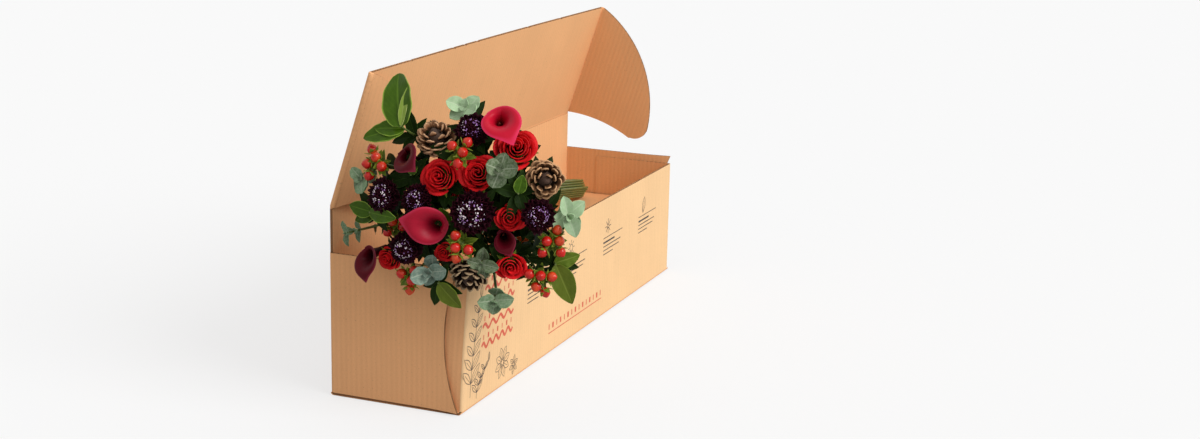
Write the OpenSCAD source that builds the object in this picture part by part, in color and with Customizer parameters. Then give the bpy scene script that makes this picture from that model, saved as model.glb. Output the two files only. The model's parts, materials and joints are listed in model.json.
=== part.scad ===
// Long flower box of corrugated board, open, with a hand-tied bouquet lying in it.
// The origin is the centre of the base's underside. +X runs along the box to its far end,
// -Y is the front wall, +Y the back wall that carries the lid, and +Z is up.

/* [Board] */
// Thickness of the corrugated board
board = 3; // [2.5:0.1:3.6]
// Space left for each fold, from its line to the edge of the moving panel
fold_gap = 1.8; // [1.7:0.1:2.4]
// Radius of the round bead of board along each fold
bead_r = 1.4; // [1.1:0.1:1.5]

/* [Box] */
// Length of the box, outside
box_l = 676; // [600:2:760]
// Width of the box, outside
box_w = 162; // [156:1:190]
// Height of the front wall
front_h = 156; // [146:1:158]
// Height of the two end walls
end_h = 165; // [160:1:172]
// Height of the back wall, up to the lid's fold
back_h = 216; // [208:1:230]
// How far the curved edge of an end flap is cut back
flap_bow = 17; // [8:1:24]
// Width of the glued tab behind each end flap
tab_w = 110; // [60:2:140]

/* [Lid] */
// Depth of the lid, from its fold to its free edge
lid_d = 162; // [150:1:175]
// Lean of the open lid towards the front, from upright
lid_lean = 18; // [8:1:20]
// Fold of the left ear, from level with the lid
ear_fold_left = 162; // [156:1:166]
// Fold of the right ear, from level with the lid
ear_fold_right = 90; // [85:1:100]
// Reach of each ear, from its fold to its tip
ear_d = 120; // [105:1:125]
// Radius of the ear's long outer curve
ear_curve_r = 165; // [155:1:175]
// Radius of the ear's rounded tip
ear_tip_r = 20.5; // [14:0.5:24]
// Radius of the hollow curve on the ear's lower side
ear_hollow_r = 195; // [170:5:240]
// How deep that hollow curve cuts in
ear_hollow = 8; // [4:0.5:12]

/* [Platform] */
// Height of the folded platform that the stems lie on
platform_h = 101; // [90:1:106]
// Length of the platform, from the far end wall
platform_l = 270; // [180:2:320]
// Gap between the platform and the walls beside it
platform_gap = 0.3; // [0.2:0.1:0.8]

/* [Bouquet] */
// How far the flower heads stand out past the near end
head_out_x = 40; // [34:1:60]
// How far the flower heads stand out past the front wall
head_out_y = 11; // [6:1:20]
// Height of the middle of the heads above the end wall
head_rise = 88; // [84:1:100]
// Distance from the stems' middle to the far end of the box, at their tips
tip_gap_x = 36; // [30:1:60]
// Distance from the stems' middle to the back wall, at their tips
tip_gap_y = 35; // [34:1:48]
// Gap between the lowest stem and the platform
rest_gap = 0.3; // [0.2:0.1:0.8]
// Radius of the dome that the heads lie on
dome_r = 250; // [220:5:320]
// How strongly the outer heads look outwards: a smaller radius turns them more
facing_r = 230; // [200:5:320]
// Depth behind the dome at which the stems are half gathered
knee_depth = 88; // [84:1:100]
// Depth behind the dome at which the stems are tied
neck_depth = 180; // [165:1:210]
// Length that the tips are cut shorter by turns
tip_step = 2.5; // [1:0.5:3]
// Width of the rubber tie band
band_w = 8; // [5:0.5:14]
// Thickness of the rubber tie band
band_t = 1.6; // [1:0.1:2.5]

/* [Stems] */
// Radius of every stem, and of the picks that hold the cones
stem_r = 1.6; // [1.3:0.1:1.9]
// Gap between neighbouring stems where they are tied
stem_gap = 0.4; // [0.3:0.05:0.8]
// Radius of the twigs that carry leaves and berries
twig_r = 1.4; // [1:0.1:1.6]
// Length of the straight stub right under each head
stub_l = 6; // [4:0.5:8]
// Gap between a head and the stem that carries it
stem_fit = 0.1; // [0.05:0.05:0.3]

/* [Flowers] */
// Depth of a rose, as a multiple of its radius
rose_depth = 1.15; // [0.9:0.05:1.3]
// Depth of a scabiosa, as a multiple of its radius
scabiosa_depth = 0.62; // [0.5:0.02:0.7]
// Frill petals round a scabiosa
frill_count = 12; // [8:1:14]
// Rows of scales on a pine cone
cone_rows = 5; // [4:1:6]
// Scales in each row of a pine cone
cone_scales = 8; // [6:1:9]
// Length of a calla, from its stem to the tip of its lip
calla_l = 44; // [34:1:48]
// Wall of a calla
calla_wall = 1.4; // [1:0.1:1.8]
// Radius of a hypericum berry
berry_r = 5.6; // [4.6:0.1:6]
// Spread of a cluster's berries, as a multiple of their radius
berry_spread = 1.34; // [1.32:0.02:1.4]
// Length of the stalks of a hypericum cluster
stalk_l = 24; // [18:1:28]
// Radius of a berry's stalk
stalk_r = 0.9; // [0.6:0.1:1.1]
// Thickness of every leaf
leaf_t = 0.9; // [0.6:0.1:1.2]
// Radius of the bend along a green leaf
leaf_bend_r = 90; // [70:5:140]
// Distance between the leaves on a green sprig
leaf_step = 5; // [4:0.5:7]
// Angle at which a leaf rises from square to its twig
leaf_rise = 12; // [5:1:20]
// Distance between the pairs of leaves on a eucalyptus twig
pair_step = 9; // [7:0.5:11]

/* [Hidden] */
$fn = 48;
far = 1000;
golden_turn = 137.5;

// Each head: place across the bouquet, place up it, lift off the dome, then its own sizes.
// Roses end with their radius
ROSES = [
    [-20, 22, 2, 17], [23, 29, 4, 17], [59, 57, -4, 19], [56, -17, -9, 14],
    [60, -70, 2, 14], [-11, -58, -2, 10], [-80, -71, -8, 12], [-2, 3, -20, 12]
];
// Scabiosas end with their radius
SCABIOSAS = [
    [9, 77, 4, 17], [-82, -2, 4, 18], [-43, -4, 2, 16],
    [20, -14, 9, 22], [88, -13, 6, 17], [-54, -57, 6, 17]
];
// Pine cones end with their radius
PINE_CONES = [[-31, 66, 4, 20], [93, 27, 2, 19], [16, -88, 4, 19]];
// Callas end with the radius of their mouth and the way their lip points
CALLAS = [
    [41, 86, 12, 16, -60], [-28, -31, 8, 16, 170], [-60, 42, 4, 12, -40],
    [-103, -70, -4, 11, -80], [49, -44, -12, 9, -60]
];
// Hypericum clusters end with their number of berries and the turn of the first one
HYPERICUMS = [
    [2, 50, 17, 4, 0], [-98, 34, 8, 5, 60], [10, -50, 17, 4, 200], [106, -42, 4, 5, 30],
    [92, -83, 4, 5, 100], [-56, -97, 0, 4, 0], [-78, -36, -16, 3, 90]
];
// Eucalyptus twigs end with the radius of their leaves and their pairs
EUCALYPTUSES = [
    [-6, 103, -4, 10, 2], [48, 31, 15, 10, 2], [122, -9, 0, 12, 3], [-121, 4, 0, 9, 2],
    [-128, -46, -4, 7, 3], [-30, -82, 6, 10, 2], [37, -61, 7, 9, 2], [42, -106, 0, 10, 2]
];
// Green sprigs end with their leaves, each a direction, a length and a width
FOLIAGES = [
    [-66, 68, 0, [[93, 76, 28], [112, 44, 12], [172, 34, 17], [188, 55, 20]]],
    [71, 9, -6, [[80, 20, 14], [290, 20, 12]]],
    [-105, -24, -10, [[170, 30, 18], [205, 28, 16]]],
    [-8, -28, -12, [[120, 20, 14]]],
    [-14, -100, 4, [[-60, 34, 20]]],
    [112, -70, -14, [[-75, 48, 30], [20, 28, 18]]],
    [-45, 25, -16, [[70, 18, 12]]]
];
HEADS = concat(ROSES, SCABIOSAS, PINE_CONES, CALLAS, HYPERICUMS, EUCALYPTUSES, FOLIAGES);
first_scabiosa = len(ROSES);
first_cone = first_scabiosa + len(SCABIOSAS);
first_calla = first_cone + len(PINE_CONES);
first_hypericum = first_calla + len(CALLAS);
first_eucalyptus = first_hypericum + len(HYPERICUMS);
first_foliage = first_eucalyptus + len(EUCALYPTUSES);

function numbered(name, list) = [for (i = [1 : len(list)]) str(name, i)];

kraft = "#C68F58";
kraft_pale = "#E9C08A";
kraft_deep = "#AD7442";

// Half sizes of the box, and the planes of its walls
half_l = box_l / 2;
half_w = box_w / 2;
inner_x = half_l - 2 * board;
inner_y = half_w - board;
ear_line_x = half_l - board;

// Honeycomb of the tied stems. Counted by their distance from the middle of the bunch, the
// heads fill its rings one by one, and within a ring they follow their angle.
pitch = 2 * stem_r + stem_gap;
bunch_mid = [-8, 0];
ring_turn = [0, 0, 1, 0];

function from_mid(f) = [f[0], f[1]] - bunch_mid;
function rank(f) = len([for (g = HEADS) if (norm(from_mid(g)) < norm(from_mid(f))) g]);
function ring(f) = ceil((sqrt(12 * rank(f) + 9) - 3) / 6);
function turn(f) = (atan2(from_mid(f)[1], from_mid(f)[0]) + 360) % 360;
RINGS = [for (f = HEADS) ring(f)];
function mates(k) = [for (i = [0 : len(HEADS) - 1]) if (RINGS[i] == k) HEADS[i]];
function place_in(f, k, mates) = len(mates) < 6 * k
    ? floor(turn(f) * k / 60 + 0.5)
    : len([for (g = mates) if (turn(g) < turn(f)) g]) + ring_turn[k];
function honeycomb(k, place) = let (side = floor(place / k), step = place % k)
    pitch * [k * cos(60 * side) + step * cos(60 * side + 120),
             k * sin(60 * side) + step * sin(60 * side + 120)];
function gathered(f, k) = k == 0 ? [0, 0] : honeycomb(k, place_in(f, k, mates(k)) % (6 * k));
BUNCH = [for (i = [0 : len(HEADS) - 1]) gathered(HEADS[i], RINGS[i])];

// Direction of the bouquet, from the middle of its heads to the middle of its tips
head_at = [-half_l - head_out_x, -half_w - head_out_y, end_h + head_rise];
tip_drop = -min([for (b = BUNCH) b[1]]) + stem_r;
tip_at = [half_l - tip_gap_x, half_w - tip_gap_y, platform_h + rest_gap + tip_drop];
run = tip_at - head_at;
stem_yaw = atan2(run[1], run[0]);
stem_pitch = asin(-run[2] / norm(run));
tip_depth = norm(run);

// ---- The box ----

// A board panel lying along X, with a quarter-round fold on its two long sides
module bottom_panel() {
    color(kraft_deep) {
        translate([-half_l, -inner_y, 0]) cube([box_l, 2 * inner_y, board]);
        for (side = [-1, 1])
            translate([0, side * inner_y, board]) intersection() {
                rotate([0, 90, 0]) cylinder(r = board, h = box_l, center = true);
                translate([-half_l, side < 0 ? -board : 0, -board])
                    cube([box_l, board, board]);
            }
    }
}

// A wall along X, with a quarter-round fold at both ends
module long_wall(side, end_x, height) {
    flat_x = end_x - board;
    low_y_of_wall = side < 0 ? -half_w : inner_y;
    translate([-flat_x, low_y_of_wall, board]) cube([2 * flat_x, board, height - board]);
    for (end = [-1, 1])
        translate([end * flat_x, side * inner_y, board]) intersection() {
            cylinder(r = board, h = height - board);
            translate([end < 0 ? -board : 0, side < 0 ? -board : 0, 0])
                cube([board, board, height]);
        }
}

module front_panel() {
    color(kraft_pale) long_wall(-1, half_l - board, front_h);
}

// The back wall stops under the lid's fold and carries the fold's bead
module back_panel() {
    color(kraft) {
        long_wall(1, half_l, back_h - fold_gap);
        translate([0, half_w, back_h]) rotate([0, 90, 0])
            cylinder(r = bead_r, h = 2 * ear_line_x, center = true);
        translate([-ear_line_x, half_w - bead_r, back_h - fold_gap])
            cube([2 * ear_line_x, bead_r, fold_gap]);
    }
}

// The outer end flap folds round from the back wall; its free edge is a hollow curve
module end_flap(end) {
    rise = (end_h - board) / 2;
    bow_r = (rise * rise + flap_bow * flap_bow) / (2 * flap_bow);
    color(kraft) translate([end < 0 ? -half_l : half_l - board, 0, board]) difference() {
        translate([0, -inner_y, 0]) cube([board, 2 * inner_y, end_h - board]);
        translate([-1, -inner_y + flap_bow - bow_r, rise]) rotate([0, 90, 0])
            cylinder(r = bow_r, h = board + 2, $fn = 96);
    }
}

// The glued tab folds round from the front wall and lies inside the end flap
module end_tab(end) {
    color(kraft) translate([end < 0 ? -half_l + board : inner_x, -inner_y, board])
        cube([board, tab_w, front_h - board]);
}

// Folded board: a top and two legs, standing between the front and back walls
module stem_platform() {
    side_y = inner_y - platform_gap;
    x0 = inner_x - platform_gap - platform_l;
    color(kraft_deep) {
        translate([x0, -side_y, platform_h - board]) cube([platform_l, 2 * side_y, board]);
        for (side = [-1, 1])
            translate([x0, side < 0 ? -side_y : side_y - board, board])
                cube([platform_l, board, platform_h - 2 * board]);
    }
}

// ---- The lid ----

// Places what is drawn in the lid's own plane: X along the box, Y from the fold to the
// free edge, Z through the board from its outer to its inner face
module in_lid() {
    translate([0, half_w, back_h]) rotate([90 + lid_lean, 0, 0]) children();
}

module lid_panel() {
    color(kraft) in_lid() {
        translate([-ear_line_x + fold_gap, fold_gap, 0])
            cube([2 * (ear_line_x - fold_gap), lid_d - fold_gap, board]);
        for (end = [-1, 1]) {
            translate([end * ear_line_x, fold_gap, board]) rotate([-90, 0, 0])
                cylinder(r = bead_r, h = lid_d - fold_gap);
            translate([end < 0 ? -ear_line_x : ear_line_x - fold_gap, fold_gap, board - bead_r])
                cube([fold_gap, lid_d - fold_gap, bead_r]);
        }
    }
}

// Outline of an ear: X away from its fold, Y from the lid's fold to its free edge
module ear_outline() {
    tip_y = ear_tip_r + 3;
    tip_x = ear_d - ear_tip_r;
    curve_y = 3.4;
    curve_x = tip_x + ear_tip_r - ear_curve_r * cos(asin((tip_y - curve_y) / ear_curve_r));
    hollow_x = tip_x / 2;
    hollow_y = ear_hollow - ear_hollow_r;
    difference() {
        intersection() {
            translate([curve_x, curve_y]) circle(r = ear_curve_r, $fn = 128);
            union() {
                translate([fold_gap, fold_gap]) square([tip_x - fold_gap, far]);
                translate([fold_gap, tip_y]) square([far, far]);
                translate([tip_x, tip_y]) circle(r = ear_tip_r - 0.2, $fn = 64);
            }
        }
        translate([hollow_x, hollow_y]) circle(r = ear_hollow_r, $fn = 128);
        translate([-1, lid_d]) square([far, far]);
    }
}

// An ear folded by an angle about the inner face of the lid's side
module lid_ear(end, fold) {
    color(kraft_deep) in_lid() translate([end * ear_line_x, 0, board])
        mirror([end < 0 ? 1 : 0, 0, 0]) rotate([0, -fold, 0]) translate([0, 0, -board])
        linear_extrude(board) ear_outline();
}

// ---- The bouquet ----

// X to the right and Y up across the heads, Z out of the bouquet towards the viewer
module in_bouquet() {
    translate(head_at) rotate([90 - stem_pitch, 0, stem_yaw - 90]) children();
}

function dome_z(f) = -(f[0] * f[0] + f[1] * f[1]) / (2 * dome_r);
function seat(f) = [f[0], f[1], dome_z(f) + f[2]];
function outward(f) = [f[0], f[1], facing_r] / norm([f[0], f[1], facing_r]);
function knee(f) = [f[0] / 2, f[1] / 2, -knee_depth];
function neck(i) = [BUNCH[i][0], BUNCH[i][1], -neck_depth];
function tip(i) = [BUNCH[i][0], BUNCH[i][1], -tip_depth + tip_step * (i % 4)];

// A straight round rod between two points
module rod(a, b, r) {
    v = b - a;
    translate(a) rotate([0, acos(v[2] / norm(v)), atan2(v[1], v[0])])
        cylinder(r = r, h = norm(v));
}

// The stem of HEADS[i], from under its head through the gathered bunch to its cut tip
module stem(i, depth) {
    f = HEADS[i];
    base = seat(f) - outward(f) * (depth + stem_fit);
    stub = base - outward(f) * stub_l;
    joint_r = stem_r + stem_gap / 4;
    color("#7E9A45") in_bouquet() {
        rod(base, stub, stem_r);
        rod(stub, knee(f), stem_r);
        rod(knee(f), neck(i), stem_r);
        rod(neck(i), tip(i), stem_r);
        for (p = [stub, knee(f), neck(i)]) translate(p) sphere(r = joint_r);
    }
}

// Places a head on the dome, facing outwards
module on_dome(f) {
    n = outward(f);
    in_bouquet() translate(seat(f)) rotate([0, acos(n[2]), atan2(n[1], n[0])])
        rotate([0, 0, -atan2(n[1], n[0])]) children();
}

// Rings of petals, turned round the flower's axis
module rose(i) {
    f = ROSES[i];
    r = f[3];
    h = r * rose_depth;
    color("#A3121C") on_dome(f) rotate_extrude() polygon([
        [0, -h], [0.3 * r, -h], [0.85 * r, -0.62 * h], [r, -0.15 * h], [0.97 * r, 0],
        [0.86 * r, -0.06 * h], [0.7 * r, -0.4 * h], [0.72 * r, 0.02 * h], [0.6 * r, 0.02 * h],
        [0.48 * r, -0.35 * h], [0.46 * r, 0.04 * h], [0.36 * r, 0.05 * h],
        [0.27 * r, -0.25 * h], [0.24 * r, 0.04 * h], [0.1 * r, 0.05 * h], [0, -0.1 * h]
    ]);
    stem(i, h);
}

// A ring of blunt petals, as one toothed outline
module frill(r) {
    reach = [0.86, 0.98, 1, 0.98];
    polygon([for (k = [0 : 4 * frill_count - 1])
        let (a = k * 90 / frill_count, s = r * reach[k % 4]) [s * cos(a), s * sin(a)]]);
}

// A pincushion dome on two layers of frilled petals
module scabiosa(i) {
    f = SCABIOSAS[i];
    r = f[3];
    h = r * scabiosa_depth;
    color("#2B0F22") on_dome(f) {
        rotate_extrude() polygon([
            [0, -h], [0.2 * r, -h], [0.45 * r, -0.75 * h], [0.8 * r, -0.45 * h],
            [0.66 * r, -0.2 * h], [0.5 * r, -0.1 * h], [0.36 * r, 0], [0, 0.12 * h]
        ]);
        for (layer = [0, 1])
            translate([0, 0, -(0.4 + 0.28 * layer) * h]) rotate(layer * 180 / frill_count)
                linear_extrude(0.14 * h) frill(r * (1 - 0.06 * layer));
    }
    stem(first_scabiosa + i, h);
}

// Rows of woody scales round a core, each row turned by half a scale
module pine_cone(i) {
    f = PINE_CONES[i];
    r = f[3];
    h = 1.5 * r;
    row_h = h / (cone_rows + 1);
    color("#6B4A33") on_dome(f) translate([0, 0, -h]) {
        cylinder(r = 0.42 * r, h = h);
        for (row = [0 : cone_rows - 1]) {
            row_r = r * sin(50 + 100 * row / cone_rows);
            points = [for (k = [0 : 4 * cone_scales - 1])
                let (a = (k + row * 2) * 90 / cone_scales, s = k % 4 < 2 ? row_r : 0.6 * row_r)
                [s * cos(a), s * sin(a)]];
            translate([0, 0, (row + 0.5) * row_h]) linear_extrude(0.4 * row_h) polygon(points);
        }
    }
    stem(first_cone + i, h);
}

// A rolled spathe: a thin funnel cut on a slant, with its spadix inside
module calla(i) {
    f = CALLAS[i];
    r = f[3];
    throat_r = stem_r + 0.4 + calla_wall;
    lip_h = calla_l * 0.42;
    color("#8E0F45") on_dome(f) rotate(f[4]) translate([0, 0, -calla_l + lip_h / 2]) {
        difference() {
            cylinder(r1 = throat_r, r2 = r, h = calla_l);
            translate([0, 0, calla_wall]) cylinder(r1 = throat_r - calla_wall, r2 = r - calla_wall, h = calla_l);
            translate([-r, 0, calla_l - lip_h]) rotate([0, -atan(lip_h / (2 * r)), 0])
                translate([-r, -2 * r, 0]) cube([5 * r, 4 * r, far]);
        }
        cylinder(r = stem_r * 0.9, h = calla_l * 0.6);
    }
    stem(first_calla + i, calla_l - lip_h / 2);
}

// Berries on fanned stalks, spread by turns of the golden angle
module hypericum(i) {
    f = HYPERICUMS[i];
    count = f[3];
    fork_step = (stalk_l - 2.4 * berry_r) / count;
    color("#B4231C") on_dome(f) {
        translate([0, 0, -stalk_l]) cylinder(r = twig_r, h = count * fork_step + stalk_r);
        for (k = [0 : count - 1]) {
            out = berry_r * berry_spread * sqrt(k + 0.5);
            turn = f[4] + k * golden_turn;
            berry = [out * cos(turn), out * sin(turn), -berry_r - 0.25 * out];
            translate(berry) sphere(r = berry_r);
            rod([0, 0, -stalk_l + (k + 1) * fork_step], berry, stalk_r);
        }
    }
    stem(first_hypericum + i, stalk_l);
}

// Pairs of round leaves up a twig, each pair turned across the last
module eucalyptus(i) {
    f = EUCALYPTUSES[i];
    r = f[3];
    pairs = f[4];
    twig_l = pair_step * pairs + 4;
    color("#8FAE9C") on_dome(f) translate([0, 0, -twig_l]) {
        cylinder(r = twig_r, h = twig_l);
        for (k = [1 : pairs], side = [0, 180])
            translate([0, 0, k * pair_step]) rotate([0, 0, 90 * k + side]) rotate([0, -28, 0])
                translate([r + 0.4 * twig_r, 0, 0]) cylinder(r = r, h = leaf_t);
    }
    stem(first_eucalyptus + i, twig_l);
}

// A pointed leaf along +X, arched over a cylinder
module leaf(l, w) {
    side_r = (l * l + w * w) / (4 * w);
    translate([0, 0, -leaf_bend_r]) intersection() {
        rotate([90, 0, 0]) difference() {
            cylinder(r = leaf_bend_r, h = w, center = true, $fn = 96);
            cylinder(r = leaf_bend_r - leaf_t, h = w + 2, center = true, $fn = 96);
        }
        linear_extrude(leaf_bend_r + 1) intersection() {
            translate([l / 2, side_r - w / 2]) circle(r = side_r, $fn = 96);
            translate([l / 2, w / 2 - side_r]) circle(r = side_r, $fn = 96);
        }
    }
}

// Green leaves up a twig, one above the other
module foliage(i) {
    f = FOLIAGES[i];
    twig_l = leaf_step * len(f[3]) + 2;
    color("#3C6B2A") on_dome(f) translate([0, 0, -twig_l]) {
        cylinder(r = twig_r, h = twig_l);
        for (k = [0 : len(f[3]) - 1])
            translate([0, 0, twig_l - 1 - k * leaf_step]) rotate([0, 0, f[3][k][0]])
                rotate([0, -leaf_rise, 0]) leaf(f[3][k][1], f[3][k][2]);
    }
    stem(first_foliage + i, twig_l);
}

// Rubber band round the gathered stems
module tie_band() {
    reach = max([for (b = BUNCH) norm(b)]) + stem_r + stem_gap;
    color("#B9A27C") in_bouquet() translate([0, 0, -neck_depth - 2 * band_w]) difference() {
        cylinder(r = reach + band_t, h = band_w);
        translate([0, 0, -1]) cylinder(r = reach, h = band_w + 2);
    }
}

bottom_panel();
front_panel();
back_panel();
lid_panel();
lid_ear(-1, ear_fold_left);  // lid_ear_left
lid_ear(1, ear_fold_right);  // lid_ear_right
end_flap(-1);  // end_flap_left
end_flap(1);  // end_flap_right
end_tab(-1);  // end_tab_left
end_tab(1);  // end_tab_right
stem_platform();
for (i = [0 : len(ROSES) - 1])
    rose(i);
for (i = [0 : len(SCABIOSAS) - 1])
    scabiosa(i);
for (i = [0 : len(PINE_CONES) - 1])
    pine_cone(i);
for (i = [0 : len(CALLAS) - 1])
    calla(i);
for (i = [0 : len(HYPERICUMS) - 1])
    hypericum(i);
for (i = [0 : len(EUCALYPTUSES) - 1])
    eucalyptus(i);
for (i = [0 : len(FOLIAGES) - 1])
    foliage(i);
tie_band();
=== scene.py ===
"""Looks of the flower box: corrugated board with its folds and print, and the bouquet in it."""

import json
import math
import random

import bpy
from mathutils import Matrix, Vector


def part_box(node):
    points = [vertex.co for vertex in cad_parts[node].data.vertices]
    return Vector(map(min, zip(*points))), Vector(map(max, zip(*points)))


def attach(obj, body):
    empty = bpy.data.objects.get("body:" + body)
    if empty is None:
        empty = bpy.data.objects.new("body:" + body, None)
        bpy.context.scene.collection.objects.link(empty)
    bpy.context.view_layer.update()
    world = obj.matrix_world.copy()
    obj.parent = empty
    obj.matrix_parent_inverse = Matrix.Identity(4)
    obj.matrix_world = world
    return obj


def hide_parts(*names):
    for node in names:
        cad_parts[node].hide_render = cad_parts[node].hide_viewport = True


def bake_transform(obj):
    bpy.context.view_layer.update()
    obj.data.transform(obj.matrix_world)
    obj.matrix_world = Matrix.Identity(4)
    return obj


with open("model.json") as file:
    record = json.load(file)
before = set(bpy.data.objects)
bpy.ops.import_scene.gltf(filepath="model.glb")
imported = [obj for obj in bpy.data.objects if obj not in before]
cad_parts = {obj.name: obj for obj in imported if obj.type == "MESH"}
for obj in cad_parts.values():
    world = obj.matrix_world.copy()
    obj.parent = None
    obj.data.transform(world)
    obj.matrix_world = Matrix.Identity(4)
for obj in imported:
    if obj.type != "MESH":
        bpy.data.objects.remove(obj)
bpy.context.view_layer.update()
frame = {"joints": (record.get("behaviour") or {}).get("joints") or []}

MM = 0.001
RIGHT, BACK, UP = Vector((1, 0, 0)), Vector((0, 1, 0)), Vector((0, 0, 1))
GOLDEN = math.radians(137.5)
# The golden angle and a fifth of a turn, rounded
SPIRAL = 2.4
FIFTH = 1.2566
QUARTER = math.pi / 2
SMOOTH = math.radians(60)
# Distance at which a seam's points are merged, and a lane's margin in the UV map
MERGE, EDGE = 0.002 * MM, 0.002

# ---- Sizes: the walls' own from the frame, the rest as the part's source names them ----

wall_low, wall_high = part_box("front_panel")
base_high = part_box("bottom_panel")[1]
flap_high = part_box("end_flap_left")[1]
deck_low, deck_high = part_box("stem_platform")

BOARD = wall_high.y - wall_low.y
LINER = 0.4 * MM
MEDIUM = 0.3 * MM
FLUTE = 6.3 * MM
FACES_A_FLUTE = 8
FOLD_GAP = 1.8 * MM
HALF_L, HALF_W = base_high.x, base_high.y
INNER_Y = HALF_W - BOARD
FRONT_H, END_H = wall_high.z, flap_high.z
BACK_H = 216 * MM
HINGE = Vector((0, HALF_W, BACK_H))
FLAP_BOW = 17 * MM
FLAP_LIFT = 4.5 * MM
TAB_W = 110 * MM
LID_D = 162 * MM
LEAN = math.radians(18)
LID_OUT = Vector((0, -math.sin(LEAN), math.cos(LEAN)))
LID_IN = Vector((0, -math.cos(LEAN), -math.sin(LEAN)))
EAR_LINE = HALF_L - BOARD
EAR_D, EAR_TIP, EAR_CURVE = 120 * MM, 20.5 * MM, 165 * MM
EAR_HOLLOW, EAR_HOLLOW_R = 8 * MM, 195 * MM
ENDS = ((-1, "left"), (1, "right"))
EAR_FOLDS = {"left": math.radians(162), "right": math.radians(90)}
BULGE = 9 * MM
BULGE_REACH = 330 * MM


def clamp(x, low=0.0, high=1.0):
    return max(low, min(high, x))


def lerp(a, b, t):
    return a + (b - a) * t


def ease(x):
    x = clamp(x)
    return x * x * (3 - 2 * x)


# ---- Shader nodes ----


class Nodes:
    """Adds shader nodes to a material or a group, and joins them up."""

    def __init__(self, tree):
        self.tree = tree

    def plug(self, socket, value):
        if isinstance(value, bpy.types.NodeSocket):
            self.tree.links.new(value, socket)
        else:
            socket.default_value = value

    def node(self, kind, inputs=(), **settings):
        node = self.tree.nodes.new("ShaderNode" + kind)
        for name, value in settings.items():
            setattr(node, name, value)
        for name, value in dict(inputs).items():
            self.plug(node.inputs[name], value)
        return node

    def maths(self, operation, a, b=0.0):
        return self.node("Math", {0: a, 1: b}, operation=operation).outputs[0]

    def times(self, a, b):
        return self.maths("MULTIPLY", a, b)

    def total(self, start, *parts):
        """A value and each part, given as (value, weight), added up."""
        for value, weight in parts:
            start = self.maths("ADD", start, self.times(value, weight))
        return start

    def from_middle(self, value):
        """How far a value is from the middle between two whole numbers."""
        return self.maths("ABSOLUTE", self.maths("SUBTRACT", self.maths("FRACT", value), 0.5))

    def for_each(self, value):
        """A random value for each whole number."""
        inputs = {"W": self.maths("FLOOR", value)}
        return self.node("TexWhiteNoise", inputs, noise_dimensions="1D").outputs["Value"]

    def noise(self, vector, scale, detail=3.0):
        inputs = {"Vector": vector, "Scale": scale, "Detail": detail}
        return self.node("TexNoise", inputs).outputs["Fac"]

    def remap(self, value, low, high, to_low=0.0, to_high=1.0):
        inputs = {"Value": value, "From Min": low, "From Max": high}
        inputs.update({"To Min": to_low, "To Max": to_high})
        return self.node("MapRange", inputs, interpolation_type="SMOOTHSTEP").outputs[0]

    def mix(self, share, a, b):
        node = self.node("Mix", {"Factor": share}, data_type="RGBA")
        self.plug(node.inputs[6], a)
        self.plug(node.inputs[7], b)
        return node.outputs[2]

    def shade(self, colour, brightness):
        node = self.node("VectorMath", {0: colour, "Scale": brightness}, operation="SCALE")
        return node.outputs[0]

    def stretch(self, vector, x, y):
        return self.node("Mapping", {"Vector": vector, "Scale": (x, y, 1)}).outputs[0]

    def split(self, vector):
        return self.node("SeparateXYZ", {0: vector}).outputs


def new_group(name, inputs, outputs=("Color", "Height")):
    """A node group whose inputs are colours, values and a vector, by their defaults."""
    tree = bpy.data.node_groups.new(name, "ShaderNodeTree")
    for title, default in inputs.items():
        kind = "Float" if isinstance(default, float) else "Color" if default else "Vector"
        socket = tree.interface.new_socket(title, in_out="INPUT", socket_type="NodeSocket" + kind)
        if default:
            socket.default_value = default
    for title in outputs:
        kind = "Color" if title == "Color" else "Float"
        tree.interface.new_socket(title, in_out="OUTPUT", socket_type="NodeSocket" + kind)
    nodes = Nodes(tree)
    return nodes, tree.nodes.new("NodeGroupInput").outputs


def group_out(nodes, colour, height):
    out = nodes.tree.nodes.new("NodeGroupOutput")
    nodes.plug(out.inputs["Color"], colour)
    nodes.plug(out.inputs["Height"], height)
    return nodes.tree


def board_group():
    """Kraft paper over flutes: clouds, fibres, flecks and the faint ribs of the flutes."""
    nodes, given = new_group("board_paper", {
        "Vector": None, "Paper": (0.6, 0.35, 0.17, 1), "Ribs": 1.0, "Flecks": 1.0})
    place = given["Vector"]
    rib = nodes.maths("SINE", nodes.times(nodes.split(place)["X"], math.tau / FLUTE))
    uneven = nodes.noise(nodes.stretch(place, 60, 9), 1.0, 2.0)
    rib = nodes.times(rib, nodes.times(uneven, given["Ribs"]))
    cloud = nodes.noise(place, 11.0, 4.0)
    fibre = nodes.noise(nodes.stretch(place, 1, 0.35), 950.0, 4.0)
    streak = nodes.noise(nodes.stretch(place, 1, 0.04), 160.0, 3.0)
    dark = nodes.remap(nodes.noise(place, 420.0, 2.0), 0.66, 0.74)
    pale = nodes.remap(nodes.noise(nodes.stretch(place, 1.3, 1.1), 520.0, 2.0), 0.68, 0.76)
    flecks = nodes.total(nodes.times(pale, 0.12), (dark, -0.22))
    glow = nodes.total(0.80, (cloud, 0.16), (fibre, 0.16), (streak, 0.08), (rib, 0.035),
                       (flecks, given["Flecks"]))
    return group_out(nodes, nodes.shade(given["Paper"], glow), nodes.total(rib, (fibre, 0.5)))


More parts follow.
